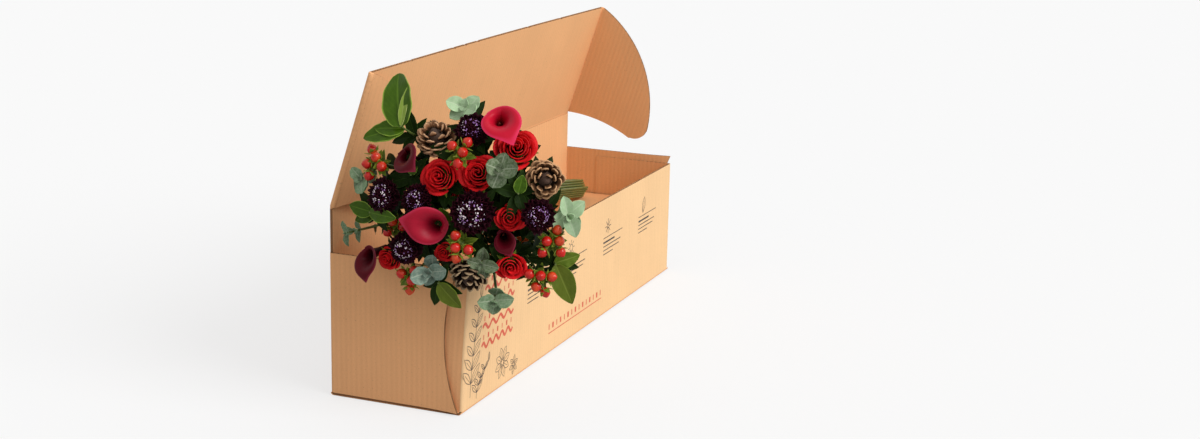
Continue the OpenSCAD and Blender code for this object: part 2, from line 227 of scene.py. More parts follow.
def petal_group():
    """A petal's colour from its root to its rim, with fine veins along it. The darker root is
    partly the petal's own deeper tone and partly painted shade deep in the head.
    """
    nodes, given = new_group("petal_skin", {
        "Vector": None, "Root And Shade": (0.05, 0, 0.01, 1), "Face": (0.4, 0.01, 0.02, 1),
        "Rim": (0.6, 0.03, 0.04, 1), "Veins": 0.3, "Rim From": 0.86})
    place = nodes.split(given["Vector"])
    vein = nodes.noise(nodes.stretch(given["Vector"], 26, 1.6), 1.0, 3.0)
    mottle = nodes.noise(nodes.stretch(given["Vector"], 5, 5), 1.0, 3.0)
    # Darker towards the root: partly the petal's own tone, partly painted shade deep in the head
    colour = nodes.mix(nodes.remap(place["Y"], 0.3, 0.8), given["Root And Shade"], given["Face"])
    colour = nodes.mix(nodes.remap(place["Y"], given["Rim From"], 1.0), colour, given["Rim"])
    glow = nodes.total(0.72, (nodes.for_each(place["X"]), 0.3),
                       (nodes.maths("SUBTRACT", vein, 0.5), given["Veins"]), (mottle, 0.22))
    return group_out(nodes, nodes.shade(colour, glow), vein)


def leaf_group():
    """A leaf with a midrib, side veins, a paler margin and a mottled bloom."""
    nodes, given = new_group("leaf_skin", {
        "Vector": None, "Blade": (0.1, 0.2, 0.04, 1), "Rib": (0.3, 0.4, 0.15, 1),
        "Margin": (0.3, 0.4, 0.1, 1), "Bloom": 0.15, "Pale Base": 0.0})
    place = nodes.split(given["Vector"])
    side = nodes.from_middle(place["X"])
    slope = nodes.total(nodes.times(place["Y"], 9.0), (side, -7.0))
    vein = nodes.remap(nodes.from_middle(slope), 0.0, 0.09, 1.0, 0.0)
    rib = nodes.remap(side, 0.012, 0.05, 1.0, 0.0)
    mottle = nodes.noise(nodes.stretch(given["Vector"], 7, 7), 1.0, 4.0)
    base = nodes.remap(place["Y"], 0.02, 0.34, 1.0, 0.0)
    coats = [(nodes.times(nodes.remap(mottle, 0.35, 0.7), given["Bloom"]), "Rib"),
             (nodes.times(vein, 0.22), "Rib"), (nodes.times(rib, 0.75), "Rib"),
             (nodes.remap(side, 0.44, 0.495), "Margin"),
             (nodes.times(base, given["Pale Base"]), "Rib")]
    colour = given["Blade"]
    for share, title in coats:
        colour = nodes.mix(share, colour, given[title])
    glow = nodes.total(0.75, (nodes.for_each(place["X"]), 0.45))
    height = nodes.total(nodes.times(mottle, 0.4), (rib, -1.0), (vein, -0.5))
    return group_out(nodes, nodes.shade(colour, glow), height)


def rind_group():
    """Berry skin, stem bark and cone wood: two colours in soft patches, with a fine grain."""
    nodes, given = new_group("rind", {
        "Vector": None, "Main": (0.5, 0.1, 0.05, 1), "Patch": (0.6, 0.3, 0.1, 1),
        "Patches": 0.5, "Grain": 300.0})
    patch = nodes.remap(nodes.noise(given["Vector"], 45.0, 2.0), 0.45, 0.65)
    grain = nodes.noise(given["Vector"], given["Grain"], 3.0)
    colour = nodes.mix(nodes.times(patch, given["Patches"]), given["Main"], given["Patch"])
    return group_out(nodes, nodes.shade(colour, nodes.total(0.8, (grain, 0.4))), grain)


GROUPS = {"board": board_group(), "petal": petal_group(), "leaf": leaf_group(),
          "rind": rind_group()}
RELIEF = {"board": 0.25 * MM, "petal": 0.4 * MM, "leaf": 0.5 * MM, "rind": 0.2 * MM}
MATERIALS = {}


def add_finish(name, group, *values, rough=0.6, gloss=0.5, bump=0.2):
    """A finish from one of the groups. values are the group's inputs, in order, after its place."""
    made = bpy.data.materials.new(name)
    made.use_nodes = True
    nodes = Nodes(made.node_tree)
    shader = made.node_tree.nodes["Principled BSDF"]
    skin = made.node_tree.nodes.new("ShaderNodeGroup")
    skin.node_tree = GROUPS[group]
    place = nodes.node("TexCoord").outputs["Object" if group == "rind" else "UV"]
    nodes.plug(skin.inputs["Vector"], place)
    for socket, value in zip(list(skin.inputs)[1:], values):
        socket.default_value = (*value, 1) if isinstance(value, tuple) else value
    relief = {"Strength": bump, "Distance": RELIEF[group], "Height": skin.outputs["Height"]}
    nodes.plug(shader.inputs["Base Color"], skin.outputs["Color"])
    nodes.plug(shader.inputs["Normal"], nodes.node("Bump", relief).outputs[0])
    shader.inputs["Roughness"].default_value = rough
    shader.inputs["Specular IOR Level"].default_value = gloss
    MATERIALS[name] = made


# Paper, ribs and flecks. The flutes and the raw edges are darkened as painted shade of the flute
# hollows; the front is paler partly for its printed paper and partly as painted light.
KRAFT_TONES = {
    "kraft_outside": ((0.80, 0.415, 0.195),), "kraft_inside": ((0.77, 0.42, 0.20),),
    "kraft_front_pale_and_painted_light": ((0.79, 0.52, 0.28), 0.8, 0.7), "kraft_flutes_painted_shade": ((0.36, 0.20, 0.10), 0.0),
    "kraft_edge_painted_shade": ((0.24, 0.12, 0.055), 0.0)}
for title, tones in KRAFT_TONES.items():
    add_finish(title, "board", *tones, rough=0.9, gloss=0.06, bump=0.35)

# Root (darkened partly as painted shade deep in the head), face, rim, veins and where the rim
# starts
add_finish("rose_petal", "petal", (0.035, 0.0, 0.001), (0.78, 0.014, 0.018),
           (0.66, 0.010, 0.014), 0.4, rough=0.5, gloss=0.16)
add_finish("scabiosa_petal", "petal", (0.004, 0.001, 0.001), (0.013, 0.002, 0.004),
           (0.036, 0.004, 0.010), gloss=0.05)
add_finish("calla_bright", "petal", (0.34, 0.003, 0.012), (0.50, 0.005, 0.026),
           (0.66, 0.022, 0.085), 0.15, 0.93, rough=0.4, gloss=0.15)
add_finish("calla_wine", "petal", (0.12, 0.002, 0.008), (0.34, 0.006, 0.024),
           (0.46, 0.022, 0.06), 0.35, 0.94, rough=0.4, gloss=0.15)
add_finish("calla_dark", "petal", (0.02, 0.001, 0.002), (0.085, 0.002, 0.007),
           (0.20, 0.014, 0.035), 0.3, 0.95, rough=0.4, gloss=0.1)
CONE_TONES = {
    "cone_scale": ((0.012, 0.006, 0.003), (0.17, 0.078, 0.034), (0.56, 0.32, 0.165)),
    "cone_scale_pale": ((0.03, 0.015, 0.008), (0.30, 0.135, 0.062), (0.56, 0.32, 0.18)),
    "cone_scale_dark": ((0.006, 0.003, 0.002), (0.045, 0.021, 0.011), (0.38, 0.27, 0.16))}
for title, tones in CONE_TONES.items():
    add_finish(title, "petal", *tones, 0.8, 0.74, rough=0.75, gloss=0.06, bump=0.5)

# Blade, rib, margin, bloom and pale base
add_finish("leaf_glossy", "leaf", (0.040, 0.090, 0.003), (0.10, 0.19, 0.015),
           (0.24, 0.36, 0.05), rough=0.35, gloss=0.12)
add_finish("leaf_young", "leaf", (0.26, 0.38, 0.05), (0.46, 0.56, 0.18), (0.48, 0.56, 0.18),
           rough=0.4, gloss=0.15)
add_finish("leaf_olive", "leaf", (0.085, 0.115, 0.010), (0.16, 0.20, 0.03), (0.14, 0.20, 0.02),
           rough=0.4, gloss=0.12)
# Near-black green: partly the leaves' own dark green, partly painted shade in the gaps between the
# heads
add_finish("leaf_dark_and_painted_shade", "leaf", (0.010, 0.024, 0.003), (0.025, 0.05, 0.008),
           (0.03, 0.065, 0.010), rough=0.45, gloss=0.05)
add_finish("leaf_hypericum", "leaf", (0.12, 0.19, 0.015), (0.28, 0.36, 0.06),
           (0.24, 0.28, 0.04), rough=0.42, gloss=0.12)
EUCALYPTUS_TONES = {
    "eucalyptus_mint": (0.32, 0.46, 0.26), "eucalyptus_grey": (0.085, 0.125, 0.058),
    "eucalyptus_blue": (0.13, 0.195, 0.155), "eucalyptus_green": (0.14, 0.22, 0.115)}
WAX, WAX_SHARE = (0.66, 0.70, 0.54), 0.42
for title, tone in EUCALYPTUS_TONES.items():
    waxy = tuple(lerp(c, bright, WAX_SHARE) for c, bright in zip(tone, WAX))
    add_finish(title, "leaf", tone, waxy, tuple(c * 1.25 for c in tone), 0.45, 0.8, gloss=0.1)

# Main tone, patch tone, patches and grain
add_finish("berry_skin", "rind", (0.52, 0.010, 0.006), (0.74, 0.13, 0.02), 0.4, rough=0.2,
           gloss=0.35, bump=0.03)
add_finish("stem_green", "rind", (0.09, 0.13, 0.025), (0.15, 0.19, 0.04), 0.5, 900.0, rough=0.5)
add_finish("cut_stem", "rind", (0.70, 0.74, 0.38), (0.62, 0.64, 0.30), rough=0.7)
add_finish("anther_white", "rind", (0.80, 0.70, 0.72), (0.60, 0.48, 0.58))
add_finish("anther_lilac", "rind", (0.32, 0.14, 0.42), (0.56, 0.38, 0.66))
add_finish("cone_core", "rind", (0.05, 0.025, 0.015), (0.1, 0.05, 0.03), rough=0.8)
add_finish("spadix", "rind", (0.30, 0.05, 0.03), (0.4, 0.10, 0.04))
add_finish("rubber", "rind", (0.62, 0.48, 0.26), (0.55, 0.40, 0.20), rough=0.55, bump=0.1)
add_finish("ink_black", "rind", (0.055, 0.045, 0.04), (0.10, 0.08, 0.06), 0.5, 1500.0, rough=0.7)
add_finish("ink_red", "rind", (0.62, 0.10, 0.055), (0.68, 0.16, 0.09), 0.5, 1500.0, rough=0.7)

# ---- Modelling helpers ----


def deselect():
    bpy.ops.object.select_all(action="DESELECT")


def only(piece):
    deselect()
    piece.select_set(True)
    bpy.context.view_layer.objects.active = piece


def finish_with(piece, kind, **settings):
    """Adds a modifier and applies it."""
    only(piece)
    modifier = piece.modifiers.new(kind.title(), kind)
    for name, value in settings.items():
        setattr(modifier, name, value)
    bpy.ops.object.modifier_apply(modifier=modifier.name)


def sheet(name, columns, rows, shape, finish, uv=None):
    """A grid of faces bent to shape(u, v), with u and v from 0 to 1 across and along it."""
    deselect()
    bpy.ops.mesh.primitive_grid_add(x_subdivisions=columns, y_subdivisions=rows, size=1)
    piece = bpy.context.object
    piece.name = name
    mesh = piece.data
    spots = [(v.co.x + 0.5, v.co.y + 0.5) for v in mesh.vertices]
    for vertex, (u, v) in zip(mesh.vertices, spots):
        vertex.co = shape(u, v)
    layer = mesh.uv_layers.active.data
    for corner in mesh.loops:
        u, v = spots[corner.vertex_index]
        layer[corner.index].uv = uv(u, v) if uv else (u, v)
    mesh.materials.append(MATERIALS[finish])
    return piece


def join(name, pieces, thickness=0):
    """Makes one piece of several, and gives it a thickness where one is named."""
    only(pieces[0])
    for piece in pieces:
        piece.select_set(True)
    if len(pieces) > 1:
        bpy.ops.object.join()
    made = bpy.context.object
    made.name = made.data.name = name
    if thickness:
        finish_with(made, "SOLIDIFY", thickness=thickness, offset=0)
    return made


def close_seams(piece):
    """Merges the seam and the ends of a piece that was bent from a flat sheet."""
    only(piece)
    bpy.ops.object.mode_set(mode="EDIT")
    bpy.ops.mesh.select_all(action="SELECT")
    bpy.ops.mesh.remove_doubles(threshold=MERGE)
    bpy.ops.mesh.normals_make_consistent(inside=False)
    bpy.ops.object.mode_set(mode="OBJECT")


def lane(number):
    """A petal's or leaf's own lane of the UV map, which gives it a tone of its own."""
    return lambda u, v: (number + clamp(u, EDGE, 1 - EDGE), v)


def polar(away, turn, height):
    return Vector((away * math.cos(turn), away * math.sin(turn), height))


def upright(*heights):
    return [Vector((0, 0, height)) for height in heights]


def towards(axis):
    """The turn that points +Z along an axis."""
    return UP.rotation_difference(axis).to_matrix().to_4x4()


def posed(piece, matrix):
    piece.data.transform(matrix)
    return piece


def turned(z=0.0, rise=0.0, at=(0, 0, 0)):
    """A place: turned about Z, raised from the level, at a point."""
    return Matrix.Translation(at) @ Matrix.Rotation(z, 4, "Z") @ Matrix.Rotation(-rise, 4, "Y")


def settle(piece, body, node):
    """Smooths a finished piece, hangs it on the empty of the body it rides on, and hides the part
    it stands for.
    """
    only(piece)
    bpy.ops.object.shade_smooth_by_angle(angle=SMOOTH)
    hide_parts(node)
    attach(piece, body)


# ---- Corrugated board ----


def board(name, outline, place, size_u, rows=1, faces=("kraft_outside", "kraft_inside"),
          columns=32):
    """Two liners with a fluted sheet between them. outline(u, v) gives the place in the panel,
    across and along its flutes, and place(across, along, depth) the point in space."""
    swing = BOARD / 2 - LINER - MEDIUM / 2

    def layer(title, depth, finish, thick, wide, waves=0.0):
        def shape(u, v):
            across, along = outline(u, v)
            return place(across, along, depth + waves * math.sin(math.tau * across / FLUTE))

        made = sheet(title, wide, rows, shape, finish, outline)
        # The raw cut edges take a dark brown that is painted shade of the flute hollows and of the
        # gaps at the board's edges.
        made.data.materials.append(MATERIALS["kraft_edge_painted_shade"])
        finish_with(made, "SOLIDIFY", thickness=thick, offset=0, material_offset_rim=1)
        return made

    # The fluted sheet's dark brown is partly its own paper and partly painted shade of the flute
    # hollows.
    flutes = math.ceil(size_u / FLUTE) * FACES_A_FLUTE
    return join(name, [
        layer(name, LINER / 2, faces[0], LINER, columns),
        layer("inner_liner", BOARD - LINER / 2, faces[1], LINER, columns),
        layer("medium", BOARD / 2, "kraft_flutes_painted_shade", MEDIUM, flutes, swing)])


def round_fold(corner, start, end, along, finish="kraft_outside", shift=lambda point: point):
    """The outer liner's quarter round where two panels meet, from one face to the next."""
    def shape(u, v):
        out = math.cos(QUARTER * u) * start + math.sin(QUARTER * u) * end
        return shift(corner + out * (BOARD - LINER / 2) + along * v)

    fold = sheet("fold", 6, 8, shape, finish, lambda u, v: (u * 5 * MM, v * along.length))
    finish_with(fold, "SOLIDIFY", thickness=LINER, offset=0)
    return fold


def rectangle(low_u, high_u, low_v, high_v):
    return lambda u, v: (lerp(low_u, high_u, u), lerp(low_v, high_v, v))


def bulge(x, z):
    """How far the front wall stands out near its free corner at the near end."""
    near = 1 - ease((x + HALF_L) / BULGE_REACH)
    return BULGE * near * clamp((z - BOARD) / (FRONT_H - BOARD)) ** 1.3


def front_wall():
    flat = EAR_LINE - BOARD

    def place(x, z, depth):
        return Vector((x, -HALF_W + depth - bulge(x, z), z))

    def bulged(point):
        return point - BACK * bulge(point.x, point.z)

    # The front's outer liner is paler than the same liner on the end flaps: partly its printed
    # paper, partly painted light.
    made = board("front_wall", rectangle(-flat, flat, BOARD, FRONT_H), place, 2 * flat, 8,
                 ("kraft_front_pale_and_painted_light", "kraft_inside"), 48)
    folds = [round_fold(Vector((end * flat, -INNER_Y, BOARD)), -BACK, end * RIGHT,
                        UP * (FRONT_H - BOARD), "kraft_front_pale_and_painted_light", bulged) for end in (-1, 1)]
    settle(join("front_wall", [made, *folds]), "box", "front_panel")


def back_wall():
    def place(x, z, depth):
        return Vector((x, HALF_W - depth, z))

    made = board("back_wall", rectangle(-EAR_LINE, EAR_LINE, BOARD, HINGE.z - FOLD_GAP), place,
                 2 * EAR_LINE, columns=8)
    folds = [round_fold(Vector((end * EAR_LINE, INNER_Y, BOARD)), BACK, end * RIGHT,
                        UP * (END_H - BOARD)) for end in (-1, 1)]
    settle(join("back_wall", [made, *folds]), "box", "back_panel")


def base_board():
    def place(x, y, depth):
        return Vector((x, y, depth))

    made = board("base", rectangle(-HALF_L, HALF_L, -INNER_Y, INNER_Y), place, 2 * HALF_L,
                 columns=8)
    folds = [round_fold(Vector((-HALF_L, side * INNER_Y, BOARD)), -UP, side * BACK,
                        2 * HALF_L * RIGHT) for side in (-1, 1)]
    settle(join("base", [made, *folds]), "box", "bottom_panel")


def end_flap(end, side):
    """The outer end flap, with its hollow free edge."""
    rise = (END_H - BOARD) / 2
    radius = (rise * rise + FLAP_BOW * FLAP_BOW) / (2 * FLAP_BOW)

    def outline(u, v):
        z = lerp(BOARD, END_H, v)
        cut = math.sqrt(radius * radius - (z - BOARD - rise) ** 2) - radius + FLAP_BOW
        return lerp(-INNER_Y + cut, INNER_Y, u), z

    def place(y, z, depth):
        lift = FLAP_LIFT * clamp((-y - 0.25 * HALF_W) / (0.75 * HALF_W)) ** 2
        return Vector((end * (HALF_L - depth + lift), y, z))

    made = board("end_flap_" + side + "_board", outline, place, 2 * INNER_Y, 24)
    settle(made, "box", "end_flap_" + side)


def end_tab(end, side):
    """The glued tab of the front wall, inside the end flap, crushed thin towards its free edge."""
    def place(y, z, depth):
        crushed = lerp(1, 0.2, ease((y + INNER_Y - 0.35 * TAB_W) / (0.65 * TAB_W)))
        bulged = y - (bulge(-HALF_L, z) if end < 0 else 0)
        return Vector((end * (HALF_L - BOARD - depth * crushed), bulged, z))

    made = board("end_tab_" + side + "_board",
                 rectangle(-INNER_Y, TAB_W - INNER_Y, BOARD, FRONT_H), place, TAB_W, 8, columns=24)
    settle(made, "box", "end_tab_" + side)


def platform():
    """Folded board that the stems lie on: a top and two legs."""
    ends = (deck_low.x, deck_high.x)
    looks = (ends[1] - ends[0], 1, ("kraft_inside", "kraft_inside"), 8)

    def top(x, y, depth):
        return Vector((x, y, deck_high.z - depth))

    def leg(side):
        return lambda x, z, depth: Vector((x, side * (deck_high.y - depth), z))

    pieces = [board("deck", rectangle(*ends, deck_low.y, deck_high.y), top, *looks)]
    for side in (-1, 1):
        edges = rectangle(*ends, deck_low.z, deck_high.z - BOARD)
        pieces.append(board("leg", edges, leg(side), *looks))
    settle(join("platform", pieces), "box", "stem_platform")


def lid_point(x, out, depth):
    """A point in the lid: along the box, out from its fold, and in from its outer face."""
    return HINGE + Vector((x, 0, 0)) + LID_OUT * out + LID_IN * depth


def lid_board():
    """The lid, with small nicks in its free edge and a slight sag between its folds."""
    span = EAR_LINE - FOLD_GAP
    nicks = [-0.24, -0.13, -0.1, -0.065, 0.085, 0.19]
    nick_depth, nick_w, sag_depth = 0.9 * MM, 1.6 * MM, 2.2 * MM

    def outline(u, v):
        x = lerp(-span, span, u)
        nick = sum(nick_depth * math.exp(-((x - n) / nick_w) ** 2) for n in nicks)
        return x, lerp(FOLD_GAP, LID_D - nick, v)

    def place(x, out, depth):
        sag = sag_depth * math.sin(math.pi * (x + span) / (2 * span)) * (out / LID_D) ** 2
        return lid_point(x, out, depth - sag)

    made = board("lid", outline, place, 2 * span, 6, columns=256)
    settle(made, "lid", "lid_panel")


def ear_rim(away):
    """Lowest and highest place of the ear's outline, at a distance from its fold."""
    tip_y, tip_x, curve_y = EAR_TIP + 3 * MM, EAR_D - EAR_TIP, 3.4 * MM
    curve_x = tip_x + EAR_TIP - EAR_CURVE * math.cos(math.asin((tip_y - curve_y) / EAR_CURVE))
    high = curve_y + math.sqrt(max(0, EAR_CURVE ** 2 - (away - curve_x) ** 2))
    hollow = EAR_HOLLOW_R ** 2 - (away - tip_x / 2) ** 2
    low = max(FOLD_GAP, EAR_HOLLOW - EAR_HOLLOW_R + math.sqrt(hollow))
    if away > tip_x:
        low = tip_y - math.sqrt(max(0, EAR_TIP ** 2 - (away - tip_x) ** 2))
    return low, min(LID_D, high)


def ear_way(end, turn):
    """The way from an ear's fold, turned from level with the lid."""
    return end * RIGHT * math.cos(turn) + LID_IN * math.sin(turn)


def ear_board(end, side):
    fold = EAR_FOLDS[side]
    line = lid_point(end * EAR_LINE, 0, BOARD)
    away_dir, in_dir = ear_way(end, fold), ear_way(end, fold + QUARTER)

    def outline(u, v):
        away = lerp(FOLD_GAP, EAR_D - 0.2 * MM, u ** 0.9)
        low, high = ear_rim(away)
        return away, lerp(low, max(high, low + 0.5 * MM), v)

    def place(away, out, depth):
        return line + away_dir * away + LID_OUT * out + in_dir * (depth - BOARD)

    made = board("ear_" + side, outline, place, EAR_D, 12, columns=64)
    settle(made, "ear_" + side, "lid_ear_" + side)


def crease(name, path, along, inwards, finish):
    """The crushed strip of board along a fold. path is its section, along the pivot's face."""
    def shape(u, v):
        return path[round(u * (len(path) - 1))] + along * v

    made = sheet(name, len(path) - 1, 24, shape, finish,
                 lambda u, v: (v * along.length, u * 4 * MM))
    finish_with(made, "SOLIDIFY", thickness=BOARD * 0.96, offset=1 if inwards else -1)
    finish_with(made, "BEVEL", width=0.2 * MM, segments=1)
    only(made)
    bpy.ops.object.shade_smooth_by_angle(angle=SMOOTH)
    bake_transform(made)


def creases():
    span = 2 * EAR_LINE * RIGHT
    corner = HINGE - span / 2
    path = [corner - UP * FOLD_GAP, corner - UP * FOLD_GAP / 3, corner + LID_OUT * FOLD_GAP / 3,
            corner + LID_OUT * FOLD_GAP]
    crease("lid_crease", path, span, False, "kraft_outside")
    for end, side in ENDS:
        fold = EAR_FOLDS[side]
        line = lid_point(end * EAR_LINE, FOLD_GAP, BOARD)
        path = [line - end * RIGHT * FOLD_GAP, line - end * RIGHT * 0.3 * MM]
        path += [line + 0.25 * MM * ear_way(end, fold * k / 8 - QUARTER) for k in range(9)]
        path.append(line + ear_way(end, fold) * FOLD_GAP)
        crease("ear_crease_" + side, path, LID_OUT * (LID_D - FOLD_GAP), end < 0,
               "kraft_outside")


front_wall()
back_wall()
base_board()
for ear_end, ear_side in ENDS:
    end_flap(ear_end, ear_side)
    end_tab(ear_end, ear_side)
    ear_board(ear_end, ear_side)
platform()
lid_board()
creases()

# ---- Print on the front wall ----

INK_LIFT = 0.12 * MM
PEN = 1.0


def stroke(points, wide, finish="ink_black"):
    """A ribbon of ink along points (x, z) on the front wall. The print is all in millimetres."""
    rows = len(points) - 1

    def shape(u, v):
        k = round(v * rows)
        before, after = points[max(k - 1, 0)], points[min(k + 1, rows)]
        along = Vector((after[0] - before[0], after[1] - before[1])).normalized()
        off = (u - 0.5) * wide
        x, z = (points[k][0] - along.y * off) * MM, (points[k][1] + along.x * off) * MM
        return Vector((x, -HALF_W - bulge(x, z) - INK_LIFT, z))

    return sheet("ink", 1, rows, shape, finish)


def around(x, z, away, angle):
    return x + away * math.cos(angle), z + away * math.sin(angle)


def ring(x, z, radius, pen):
    return stroke([around(x, z, radius, math.tau * k / 20) for k in range(21)], pen)


def rays(x, z, near, far, pen):
    """Eight short rays round a point."""
    angles = [math.tau * k / 8 for k in range(8)]
    return [stroke([around(x, z, near, a), around(x, z, far, a)], pen) for a in angles]


def printed_leaf(x, z, angle, long, wide, pen):
    """The outline of a leaf from its stalk, and its midrib."""
    def at(along, side):
        return around(*around(x, z, along, angle), side, angle + QUARTER)

    edge = [at(long * k / 8, wide / 2 * math.sin(math.pi * k / 8)) for k in range(9)]
    back = [at(long * k / 8, -wide / 2 * math.sin(math.pi * k / 8)) for k in range(7, -1, -1)]
    return [stroke(edge + back, pen), stroke([(x, z), at(0.75 * long, 0)], 0.7 * pen)]


def printed_sprig(x, z, tall, lean, pairs, leaf, pen=0.8):
    """A curved twig with pairs of leaves that get smaller to its tip."""
    def at(share):
        return x + lean * share ** 2, z + tall * share

    pieces = [stroke([at(k / 12) for k in range(13)], pen)]
    for k in range(pairs):
        share = (k + 1) / (pairs + 1)
        size = leaf * (1 - 0.5 * share)
        for side in (-1, 1):
            pieces += printed_leaf(*at(share), QUARTER - side * 0.85, size, 0.34 * size, pen)
    return pieces + printed_leaf(*at(1), QUARTER, 0.5 * leaf, 0.2 * leaf, pen)


def printed_bloom(x, z, reach, petals, pen=0.7):
    """An open flower of almond petals round a small ring."""
    pieces = [ring(x, z, 0.16 * reach, pen)]
    for k in range(petals):
        angle = math.tau * k / petals + 0.3
        foot = around(x, z, 0.18 * reach, angle)
        pieces += printed_leaf(*foot, angle, 0.8 * reach, 0.42 * reach, pen)
    return pieces


def lozenges(x, z, count, step, across, up):
    """A row of red lozenges."""
    heights = (z - up / 2, z, z + up / 2)
    return [stroke([(x + k * step, height) for height in heights],
                   across * (0.55 + 0.45 * (k % 2)), "ink_red") for k in range(count)]


def wave(x, z, long, tall, turns, wide):
    """A red wavy line."""
    steps = 10 * turns
    points = [(x + long * k / steps, z + tall / 2 * math.sin(math.tau * turns * k / steps))
              for k in range(steps + 1)]
    return stroke(points, wide, "ink_red")


def care_block(x, z, drawing):
    """A small drawing over a rule, with thin bars of different lengths under it."""
    left = x - 16
    bars = [(14, 68, 1.0), (20, 40, 2.4), (25.2, 62, 1.2), (30.4, 56, 1.2), (35.6, 34, 1.2)]
    return drawing + [stroke([(left, z - down), (left + long, z - down)], thick)
                      for down, long, thick in bars]


def front_print():
    """Two sprigs, two blooms, wavy bands of lozenges, four care blocks and a red border."""
    strokes = printed_sprig(-316, 14, 112, 14, 6, 30) + printed_sprig(-300, 8, 36, 30, 4, 20)
    strokes += printed_bloom(-232, 30, 20, 8) + printed_bloom(-200, 18, 12, 6)
    for k in range(4):
        strokes.append(wave(-292, 66 + 22 * k, 84, 7, 5 - k % 2, 3.6))
        strokes += lozenges(-288, 76 + 22 * k, 7, 12.5, 3.4, 6)
    drop_x, sun_x, star_x, leaf_x, icon_z = -150, -30, 95, 225, 118
    drop = [(drop_x + 7 * math.sin(a) * math.sin(a / 2), icon_z + 9 * math.cos(a))
            for a in [math.tau * k / 24 for k in range(25)]]
    sun = [ring(sun_x, icon_z, 4.5, PEN)] + rays(sun_x, icon_z, 6.5, 10, PEN)
    star = [ring(star_x, icon_z, 2.5, PEN)] + rays(star_x, icon_z, 3, 10, PEN)
    leaf = printed_leaf(leaf_x, icon_z - 10, 1.3, 22, 10, PEN)
    for x, drawing in ((drop_x, [stroke(drop, PEN)]), (sun_x, sun), (star_x, star),
                       (leaf_x, leaf)):
        strokes += care_block(x, icon_z, drawing)
    strokes += lozenges(-96, 34, 15, 12, 4.4, 7)
    strokes.append(stroke([(-98, 26), (76, 26)], 1.2, "ink_red"))
    made = join("front_print", strokes)
    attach(made, "box")


front_print()

# ---- The bouquet: places ----

# Each head: place across the bouquet, place up it and lift off the dome, in millimetres,
# then its own sizes as the part's source has them
ROSES = [
    (-20, 22, 2, 17), (23, 29, 4, 17), (59, 57, -4, 19), (56, -17, -9, 14),
    (60, -70, 2, 14), (-11, -58, -2, 10), (-80, -71, -8, 12), (-2, 3, -20, 12)]
SCABIOSAS = [
    (9, 77, 4, 17), (-82, -2, 4, 18), (-43, -4, 2, 16),
    (20, -14, 9, 22), (88, -13, 6, 17), (-54, -57, 6, 17)]
PINE_CONES = [(-31, 66, 4, 20), (93, 27, 2, 19), (16, -88, 4, 19)]
CALLAS = [
    (41, 86, 12, 16, -60), (-28, -31, 8, 16, 170), (-60, 42, 4, 12, -40),
    (-103, -70, -4, 11, -80), (49, -44, -12, 9, -60)]
HYPERICUMS = [
    (2, 50, 17, 4, 0), (-98, 34, 8, 5, 60), (10, -50, 17, 4, 200), (106, -42, 4, 5, 30),
    (92, -83, 4, 5, 100), (-56, -97, 0, 4, 0), (-78, -36, -16, 3, 90)]
EUCALYPTUSES = [
    (-6, 103, -4, 10, 2), (48, 31, 15, 10, 2), (122, -9, 0, 12, 3), (-121, 4, 0, 9, 2),
    (-128, -46, -4, 7, 3), (-30, -82, 6, 10, 2), (37, -61, 7, 9, 2), (42, -106, 0, 10, 2)]
FOLIAGES = [
    (-66, 68, 0, [(93, 76, 28), (112, 44, 12), (172, 34, 17), (188, 55, 20)]),
    (71, 9, -6, [(80, 20, 14), (290, 20, 12)]),
    (-105, -24, -10, [(170, 30, 18), (205, 28, 16)]),
    (-8, -28, -12, [(120, 20, 14)]),
    (-14, -100, 4, [(-60, 34, 20)]),
    (112, -70, -14, [(-75, 48, 30), (20, 28, 18)]),
    (-45, 25, -16, [(70, 18, 12)])]
KINDS = {"rose": ROSES, "scabiosa": SCABIOSAS, "pine_cone": PINE_CONES, "calla": CALLAS,
         "hypericum": HYPERICUMS, "eucalyptus": EUCALYPTUSES, "foliage": FOLIAGES}
LABELS = [(kind, n + 1) for kind, heads in KINDS.items() for n in range(len(heads))]
HEADS = [head for heads in KINDS.values() for head in heads]
# Slight moves of soft heads across the bouquet, up it and out of it, in millimetres
MOVES = {"foliage_1": (6, 0, 0), "pine_cone_3": (0, 3, 6), "hypericum_6": (0, 4, 0),
         "scabiosa_1": (3, -3, 0), "calla_2": (8, 1, 0), "calla_5": (0, 5, 0),
         "eucalyptus_1": (5, -7, 0), "eucalyptus_2": (0, 3, 0), "eucalyptus_3": (-6, -3, 0),
         "eucalyptus_4": (10, 9, 0), "eucalyptus_6": (4, 2, 0), "eucalyptus_7": (-6, -6, 0),
         "foliage_2": (-7, 0, 0), "foliage_3": (8, 3, 0), "foliage_5": (-2, 10, 0),
         "foliage_6": (-10, 6, 0), "foliage_7": (-10, -4, 0)}
for i, (kind, number) in enumerate(LABELS):
    move = MOVES.get("%s_%d" % (kind, number), (0, 0, 0))
    HEADS[i] = (*(HEADS[i][axis] + move[axis] for axis in range(3)), *HEADS[i][3:])

PULL = next(joint["axis"] for joint in frame["joints"] if joint["name"] == "bouquet_pull")
FACING = Vector(PULL).normalized()
ACROSS = UP.cross(FACING).normalized()
HEAD_OUT_X, HEAD_OUT_Y, HEAD_RISE = 40 * MM, 11 * MM, 88 * MM
TIP_GAP, TIP_STEP = 36 * MM, 2.5 * MM
HEAD_AT = Vector((-HALF_L - HEAD_OUT_X, -HALF_W - HEAD_OUT_Y, END_H + HEAD_RISE))
BOUQUET = Matrix((ACROSS, FACING.cross(ACROSS), FACING)).transposed().to_4x4()
BOUQUET = Matrix.Translation(HEAD_AT) @ BOUQUET
TIP_DEPTH = (HEAD_AT.x - HALF_L + TIP_GAP) / FACING.x
